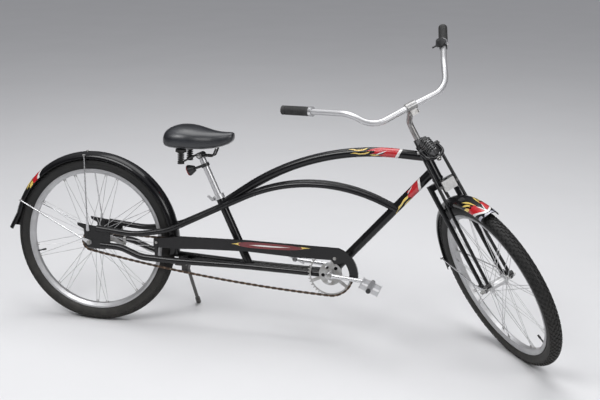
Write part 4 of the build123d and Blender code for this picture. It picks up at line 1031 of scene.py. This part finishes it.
def fender_inlays(name, place, body, front, flames):
    """Flames on a fender, from their front at an angle over the axle and trailing back."""
    turn = math.radians(front + FLAME_MIDDLE)
    out = Vector((math.cos(turn), 0, math.sin(turn)))
    along = Vector((-out.z, 0, out.x))
    plane = axes_matrix(out * (FENDER_RADIUS - 20) * MM, along, out.cross(along), out)
    for look, outlines, rise in layers(flames):
        shapes = []
        for outline in outlines:
            flat = [(FENDER_RADIUS * math.sin(x / FENDER_RADIUS - math.radians(FLAME_MIDDLE)), y, *sharp)
                    for x, y, *sharp in outline]
            shapes += [flat, mirrored(flat)]
        inlay(f"{name}_{look}", shapes, lambda: fender_blank(front - 2, front + 26, rise), plane, place, body, look)


class CRUISER_OT_flames(bpy.types.Operator):
    """Flames on the tubes, the chain guard and the fenders"""
    bl_idname = "cruiser.flames"
    bl_label = "Flames"

    def execute(self, context):
        side_view = axes_matrix(Vector((0, 0, 0)), Vector((1, 0, 0)), Vector((0, 0, 1)), Vector((0, -1, 0)))
        path = [p for p in arc_run(TOP_BACK, TOP_PEAK, TOP_FRONT, TOP_REACH) if 985 < p[0] < 1240]
        tube_inlays("top_tube", TOP_FLAMES, path + [(1225, 419.3)], side_view)
        top = Vector(DOWN_TOP)
        run = (Vector(CRANK) - top).normalized()
        along, up = Vector((run.x, 0, run.y)), Vector((run.y, 0, -run.x))
        down_view = axes_matrix(Vector((top.x, 0, top.y)) * MM, along, up, along.cross(up))
        tube_inlays("down_tube", DOWN_FLAMES, [tuple(top + run * reach) for reach in (40, 235)], down_view)
        for look, outlines, rise in layers(GUARD_FLAMES):
            lift = Matrix.Translation((0, -(GUARD_Y + rise / 2 - 0.2) * MM, 0)) @ side_view
            shapes = [flat_shape(outline, rise + 0.4, lift) for outline in outlines]
            settle(tidy_mesh(join(f"guard_{look}", shapes)), BIKE, "frame", look)
        fender_inlays("front_fender", FRONT_WHEEL, "fork", FRONT_FENDER_START, {**FENDER_FLAMES, **FENDER_TIP})
        fender_inlays("rear_fender", REAR_WHEEL, "frame", 126, FENDER_FLAMES)
        return {"FINISHED"}


# Small parts

BOLTS = [  # place, point, direction, radius, height, domed, body, and whether its mirror image is there too
    ("bike", (-33.7, 0, 350.4), (-0.095, 0, 0.995), 4.2, 4.6, True, "frame", False),
    ("bike", (981, -60, 21), (0, -1, 0), 4.4, 4.2, True, "frame", False),
    ("bike", (278, -63.2, 22), (0, -1, 0), 3.6, 3.4, True, "frame", False),
    ("bike", (965, -78, -43), (0, -1, 0), 7.0, 5.0, False, "crank_set", True),
    ("bike", (435.7, -24, 365.9), (0, -1, 0), 6.5, 5.5, False, "frame", True),
    ("fork", (57, 42, 548), (0, 1, 0), 5.0, 4.6, True, "fork", True),
    ("fork", (57, 29, 548), (0, -1, 0), 4.0, 3.0, False, "fork", True),
    ("fork", (87, 16, 682), (0, 1, 0), 4.2, 4.0, False, "fork", True),
]
STAY_RADIUS, STAY_SIDE = 340.0, 38.2
STAY_BOLTS = [("bike", 0, 95.5, "frame"), ("bike", 0, 156, "frame"), ("fork", FORK_OFFSET, 160, "fork")]


def all_bolts():
    """Every bolt: those of the table and the ones that hold the stays, at their angles over the axle."""
    rows = list(BOLTS)
    for where, shift, angle, body in STAY_BOLTS:
        x, z = (STAY_RADIUS * f(math.radians(angle)) for f in (math.cos, math.sin))
        rows.append((where, (shift + x, -STAY_SIDE, z), (0, -1, 0), 3.2, 3.0, True, body, True))
    for where, (x, y, z), way, radius, height, dome, body, both in rows:
        yield where, (x, y, z), way, radius, height, dome, body
        if both:
            yield where, (x, -y, z), (way[0], -way[1], way[2]), radius, height, dome, body


class CRUISER_OT_bolts(bpy.types.Operator):
    """Bolts and nuts on fenders, guard, cranks, saddle clamp and fork"""
    bl_idname = "cruiser.bolts"
    bl_label = "Bolts"

    def execute(self, context):
        groups = {}
        for where, point, way, radius, height, dome, body in all_bolts():
            bolt = bolt_head(upright_on(point, way), radius * MM, height * MM, dome=dome)
            groups.setdefault((where, body), []).append(bolt)
        for (where, body), bolts in groups.items():
            piece = join(f"{body}_bolts", bolts)
            settle(piece, FORK if where == "fork" else BIKE, body, "steel")
        return {"FINISHED"}


# Cranks

class CRUISER_OT_cranks(bpy.types.Operator):
    """Round tapered crank arms on their spindle"""
    bl_idname = "cruiser.cranks"
    bl_label = "Cranks"

    def execute(self, context):
        x, z = CRANK
        pieces = [round_bar((x, -77, z), (x, 77, z), 11.5, 11.5, bevel=1)]
        for side in (-1, 1):
            turn = math.radians(CRANK_TURN if side < 0 else CRANK_TURN + 180)
            end_x, end_z = x + CRANK_LENGTH * math.cos(turn), z + CRANK_LENGTH * math.sin(turn)
            inner, outer = side * ARM_Y, side * (ARM_Y + ARM_THICK)
            middle = (inner + outer) / 2
            pieces += [
                round_bar((x, middle, z), (end_x, middle, end_z), 9.0, 7.2, flat=0.8),
                round_bar((x, inner, z), (x, outer, z), 15, 13.5, bevel=1.5),
                round_bar((end_x, inner, end_z), (end_x, outer, end_z), 10.5, 10.5, bevel=1.5),
                round_bar((x, side * 45.5, z), (x, inner, z), 16, 15, bevel=0.8),
                round_bar((end_x, inner + side * 2, end_z), (end_x, outer + side * PEDAL_REACH, end_z), 4.5, 4.5,
                          bevel=0.5),
            ]
        for piece in pieces:
            apply_place(piece)
            tidy_mesh(piece)
        settle(join("crank_dressed", pieces), BIKE, "crank_set", "bright", ["crank"])
        return {"FINISHED"}


# Chain

def on_circle(centre, radius, turn):
    return centre + Vector((math.cos(turn), math.sin(turn))) * radius


def straight_run(start, end, sag, first, last):
    """Pins of a run that hangs by a sag, with teeth passing its first and last few."""
    links = round((end - start).length / PITCH)
    for n in range(links):
        share = n / links
        hang = Vector((0, sag * 4 * share * (1 - share)))
        yield start.lerp(end, share) - hang, not first < n < links - last


def wrapped_run(centre, radius, start, sweep):
    """Pins of a run round teeth, clockwise from an angle."""
    links = round(sweep * radius / PITCH)
    for n in range(links):
        yield on_circle(centre, radius, start - sweep * n / links), True


def chain_pins():
    """Pins of the chain with whether teeth pass there: upper run, front wrap, slack lower run, rear wrap."""
    ring, cog = (PITCH / (2 * math.sin(math.pi / teeth)) for teeth in (RING_TEETH, COG_TEETH))
    front, rear = Vector(CRANK), Vector((0, 0))
    slope, lean = math.atan2(front.y, front.x), math.acos((cog - ring) / front.length)
    over, under = slope + lean, slope - lean
    ring_top, ring_low = (on_circle(front, ring, turn) for turn in (over, under))
    cog_top, cog_low = (on_circle(rear, cog, turn) for turn in (over, under))
    wrap = under % (2 * math.pi) - over
    return [
        *straight_run(cog_top, ring_top, 0, 5, 7),
        *wrapped_run(front, ring, over, 2 * math.pi - wrap),
        *straight_run(ring_low, cog_low, CHAIN_SAG, 7, 5),
        *wrapped_run(rear, cog, under, wrap),
    ]


def chain_link(outer, toothed):
    """Two rounded plates of one link, X along it, with the pin at its first end or the roller at its last."""
    y = 3.1 if outer else 2.2
    height = 7.8 if outer else 6.2
    pieces = []
    for side in (-1, 1):
        clear_selection()
        bpy.ops.mesh.primitive_cube_add(size=1, location=(PITCH / 2 * MM, side * y * MM, 0))
        plate = bpy.context.object
        plate.scale = ((PITCH + height * 0.9) * MM, 0.9 * MM, height * MM)
        apply_place(plate)
        points = plate.data.vertices
        select_where(plate, "EDGE", lambda edge: abs(
            points[edge.vertices[0]].co.y - points[edge.vertices[1]].co.y) > 0.0005)
        bpy.ops.mesh.bevel(offset=height * 0.47 * MM, segments=3)
        leave_edit()
        pieces.append(plate)
    radius, spot, half = (1.8, 0, 3.7) if outer else (3.0, PITCH, 2.2)
    spans = [(-half, -1.7), (1.7, half)] if toothed else [(-half, half)]
    for low, high in spans:
        pieces.append(round_bar((spot, low, 0), (spot, high, 0), radius, radius, sides=8, bevel=0.2))
        apply_place(pieces[-1])
    return join("link", pieces)


class CRUISER_OT_chain(bpy.types.Operator):
    """Roller chain, link by link"""
    bl_idname = "cruiser.chain"
    bl_label = "Chain"

    def execute(self, context):
        models = {(outer, toothed): chain_link(outer, toothed) for outer in (0, 1) for toothed in (False, True)}
        pins = chain_pins()
        links = {0: [], 1: []}
        for n, (pin, toothed) in enumerate(pins):
            after = pins[(n + 1) % len(pins)][0]
            model = models[1 - n % 2, toothed]
            run = (after - pin).normalized()
            along = Vector((run.x, 0, run.y))
            rise = Vector((-run.y, 0, run.x))
            link = model.copy()
            link.data = model.data.copy()
            context.scene.collection.objects.link(link)
            spot = Vector((pin.x, -CHAIN_LINE, pin.y)) * MM
            link.matrix_world = axes_matrix(spot, along, rise.cross(along), rise)
            links[n % 2].append(link)
        pick(*models.values())
        bpy.ops.object.delete()
        # Every second link, the inner ones, takes the lighter finish with the painted highlight.
        for name, look, parity in (("chain_outer_links", "chain", 0), ("chain_inner_links", "chain_inner", 1)):
            chain = tidy_mesh(join(name, links[parity]), merge=1e-7)
            settle(chain, BIKE, "frame", look, ["chain"])
        return {"FINISHED"}


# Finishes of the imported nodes

NODE_LOOKS = {
    "paint": "top_tube down_tube seat_tube twin_tubes lower_tubes head_tube bottom_bracket dropouts bridges "
             "chain_guard steerer fork_legs fork_struts rockers guard_brackets",
    "satin_black": "saddle_springs stand_bracket stand_leg reflector_bracket",
    "rim_rear": "rear_rim",
    "rim_front": "front_rim",
    "spoke": "rear_hub front_hub",
    "stem": "stem",
    "steel": "rear_axle front_axle brake_arm chainring",
    "ring": "sprocket",
    "bright": "rear_fender_stays front_fender_stays grip_rings",
    "bar": "handlebar seat_post seat_clamp pedal_right pedal_left",
    "chain": "chain",
    "plastic": "pedal_cap_right pedal_cap_left seat_reflector bell",
    "red_lens": "seat_reflector_lens",
    "white_lens": "front_reflector",
}


class CRUISER_OT_finishes(bpy.types.Operator):
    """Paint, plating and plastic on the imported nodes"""
    bl_idname = "cruiser.finishes"
    bl_label = "Finishes"

    def execute(self, context):
        for look, names in NODE_LOOKS.items():
            for name in names.split():
                mesh = frame["nodes"][name].data
                mesh.materials.clear()
                mesh.materials.append(LOOKS[look])
        return {"FINISHED"}


# Stage

def studio_floor():
    """Plain pale floor with faint clouds."""
    bpy.ops.mesh.primitive_plane_add(size=60, location=(0, 0, 0))
    floor = bpy.context.object
    floor.name = "floor"
    pale = bpy.data.materials.new("studio_floor")
    pale.use_nodes = True
    tree = pale.node_tree
    shader = tree.nodes["Principled BSDF"].inputs
    feed(tree, shader["Roughness"], 0.85)
    cloud = noise(tree, 1.4, 4, 0.6, object_position(tree))
    grey = tuple(c * 0.93 for c in colours().floor)
    feed(tree, shader["Base Color"], mix_colour(tree, cloud, colours().floor, grey))
    floor.data.materials.append(pale)
    floor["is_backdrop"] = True


def lamp(name, at, size, watts, aim):
    data = bpy.data.lights.new(name, "AREA")
    data.shape = "RECTANGLE"
    data.size, data.size_y = size
    data.energy = watts
    made = bpy.data.objects.new(name, data)
    made.location = at
    made.rotation_euler = (Vector(aim) - Vector(at)).to_track_quat("-Z", "Y").to_euler()
    bpy.context.scene.collection.objects.link(made)


def studio_world():
    """Soft light from above that fades to dark below, with an even pale background for the camera."""
    world = bpy.data.worlds.new("studio")
    world.use_nodes = True
    tree = world.node_tree
    way = node(tree, "ShaderNodeTexCoord").outputs["Generated"]
    height = node(tree, "ShaderNodeSeparateXYZ", {0: way}).outputs["Z"]
    rise = node(tree, "ShaderNodeMapRange", {"From Min": 0.25, "From Max": 0.95, "Value": height},
                interpolation_type="SMOOTHSTEP")
    back = tree.nodes["Background"]
    feed(tree, back.inputs["Color"], mix_colour(tree, rise.outputs[0], (0.07, 0.07, 0.075), (0.95, 0.96, 1.0)))
    feed(tree, back.inputs["Strength"], 0.62)
    seen = node(tree, "ShaderNodeBackground", {"Color": (0.8, 0.8, 0.81), "Strength": 1.0})
    camera_ray = node(tree, "ShaderNodeLightPath").outputs["Is Camera Ray"]
    mixed = node(tree, "ShaderNodeMixShader", {"Fac": camera_ray, 1: back.outputs[0], 2: seen.outputs[0]})
    feed(tree, tree.nodes["World Output"].inputs["Surface"], mixed.outputs[0])
    return world


CAMERA_SPOT = Vector((1.6165, -3.3006, 1.6196))          # from the floor under the rear axle
CAMERA_YAW, CAMERA_PITCH = math.radians(-13.31), math.radians(17.47)


def photo_camera():
    """Camera at the photo's angle."""
    data = bpy.data.cameras.new("camera")
    data.lens = 57.1
    data.sensor_width = 36
    camera = bpy.data.objects.new("camera", data)
    ahead = math.cos(CAMERA_PITCH)
    look = Vector((math.sin(CAMERA_YAW) * ahead, math.cos(CAMERA_YAW) * ahead, -math.sin(CAMERA_PITCH)))
    axle = REAR_WHEEL.translation
    camera.location = Vector((axle.x, axle.y, 0)) + CAMERA_SPOT
    camera.rotation_euler = look.to_track_quat("-Z", "Y").to_euler()
    bpy.context.scene.collection.objects.link(camera)
    return camera


class CRUISER_OT_stage(bpy.types.Operator):
    """Pale floor, soft lamps and the camera"""
    bl_idname = "cruiser.stage"
    bl_label = "Stage"

    def execute(self, context):
        clear_selection()
        studio_floor()
        lamp("key_lamp", (-1.6, -3.4, 4.6), (3.0, 2.0), 150, (0, 0, 0.4))
        lamp("fill_lamp", (3.6, -2.6, 2.8), (2.4, 1.6), 60, (0.3, 0, 0.5))
        lamp("top_lamp", (0.2, 0.6, 4.8), (4.0, 3.0), 120, (0, 0, 0.3))
        context.scene.world = studio_world()
        context.scene.camera = photo_camera()
        context.scene.view_settings.view_transform = "Standard"
        return {"FINISHED"}


class CRUISER_PT_panel(bpy.types.Panel):
    bl_idname = "CRUISER_PT_panel"
    bl_label = "Cruiser bicycle"
    bl_space_type = "VIEW_3D"
    bl_region_type = "UI"
    bl_category = "Bicycle"

    def draw(self, context):
        layout = self.layout
        for settings in (context.scene.cruiser_sizes, context.scene.cruiser_colours):
            for name in settings.bl_rna.properties.keys():
                if name not in ("rna_type", "name"):
                    layout.prop(settings, name)
        for operator in OPERATORS:
            layout.operator(operator.bl_idname)


OPERATORS = [
    CRUISER_OT_finishes,
    CRUISER_OT_tyres,
    CRUISER_OT_wheel_trim,
    CRUISER_OT_fenders,
    CRUISER_OT_springs,
    CRUISER_OT_saddle,
    CRUISER_OT_grips,
    CRUISER_OT_cranks,
    CRUISER_OT_chain,
    CRUISER_OT_flames,
    CRUISER_OT_bolts,
    CRUISER_OT_stage,
]
CLASSES = [CruiserSizes, CruiserColours, *OPERATORS, CRUISER_PT_panel]


def register():
    for item in CLASSES:
        bpy.utils.register_class(item)
    bpy.types.Scene.cruiser_sizes = bpy.props.PointerProperty(type=CruiserSizes)
    bpy.types.Scene.cruiser_colours = bpy.props.PointerProperty(type=CruiserColours)


def unregister():
    del bpy.types.Scene.cruiser_colours
    del bpy.types.Scene.cruiser_sizes
    for item in reversed(CLASSES):
        bpy.utils.unregister_class(item)


def main():
    register()
    for build_group in (uneven_finish_group, road_dust_group, turned_lines_group, leather_grain_group):
        build_group()
    build_looks()
    for operator in OPERATORS:
        group, name = operator.bl_idname.split(".")
        getattr(getattr(bpy.ops, group), name)()
    boxes = {"cad": CAD_BOX, "visual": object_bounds()}
    plain = {name: [list(corner) for corner in box] for name, box in boxes.items()}


if __name__ == "__main__":
    main()
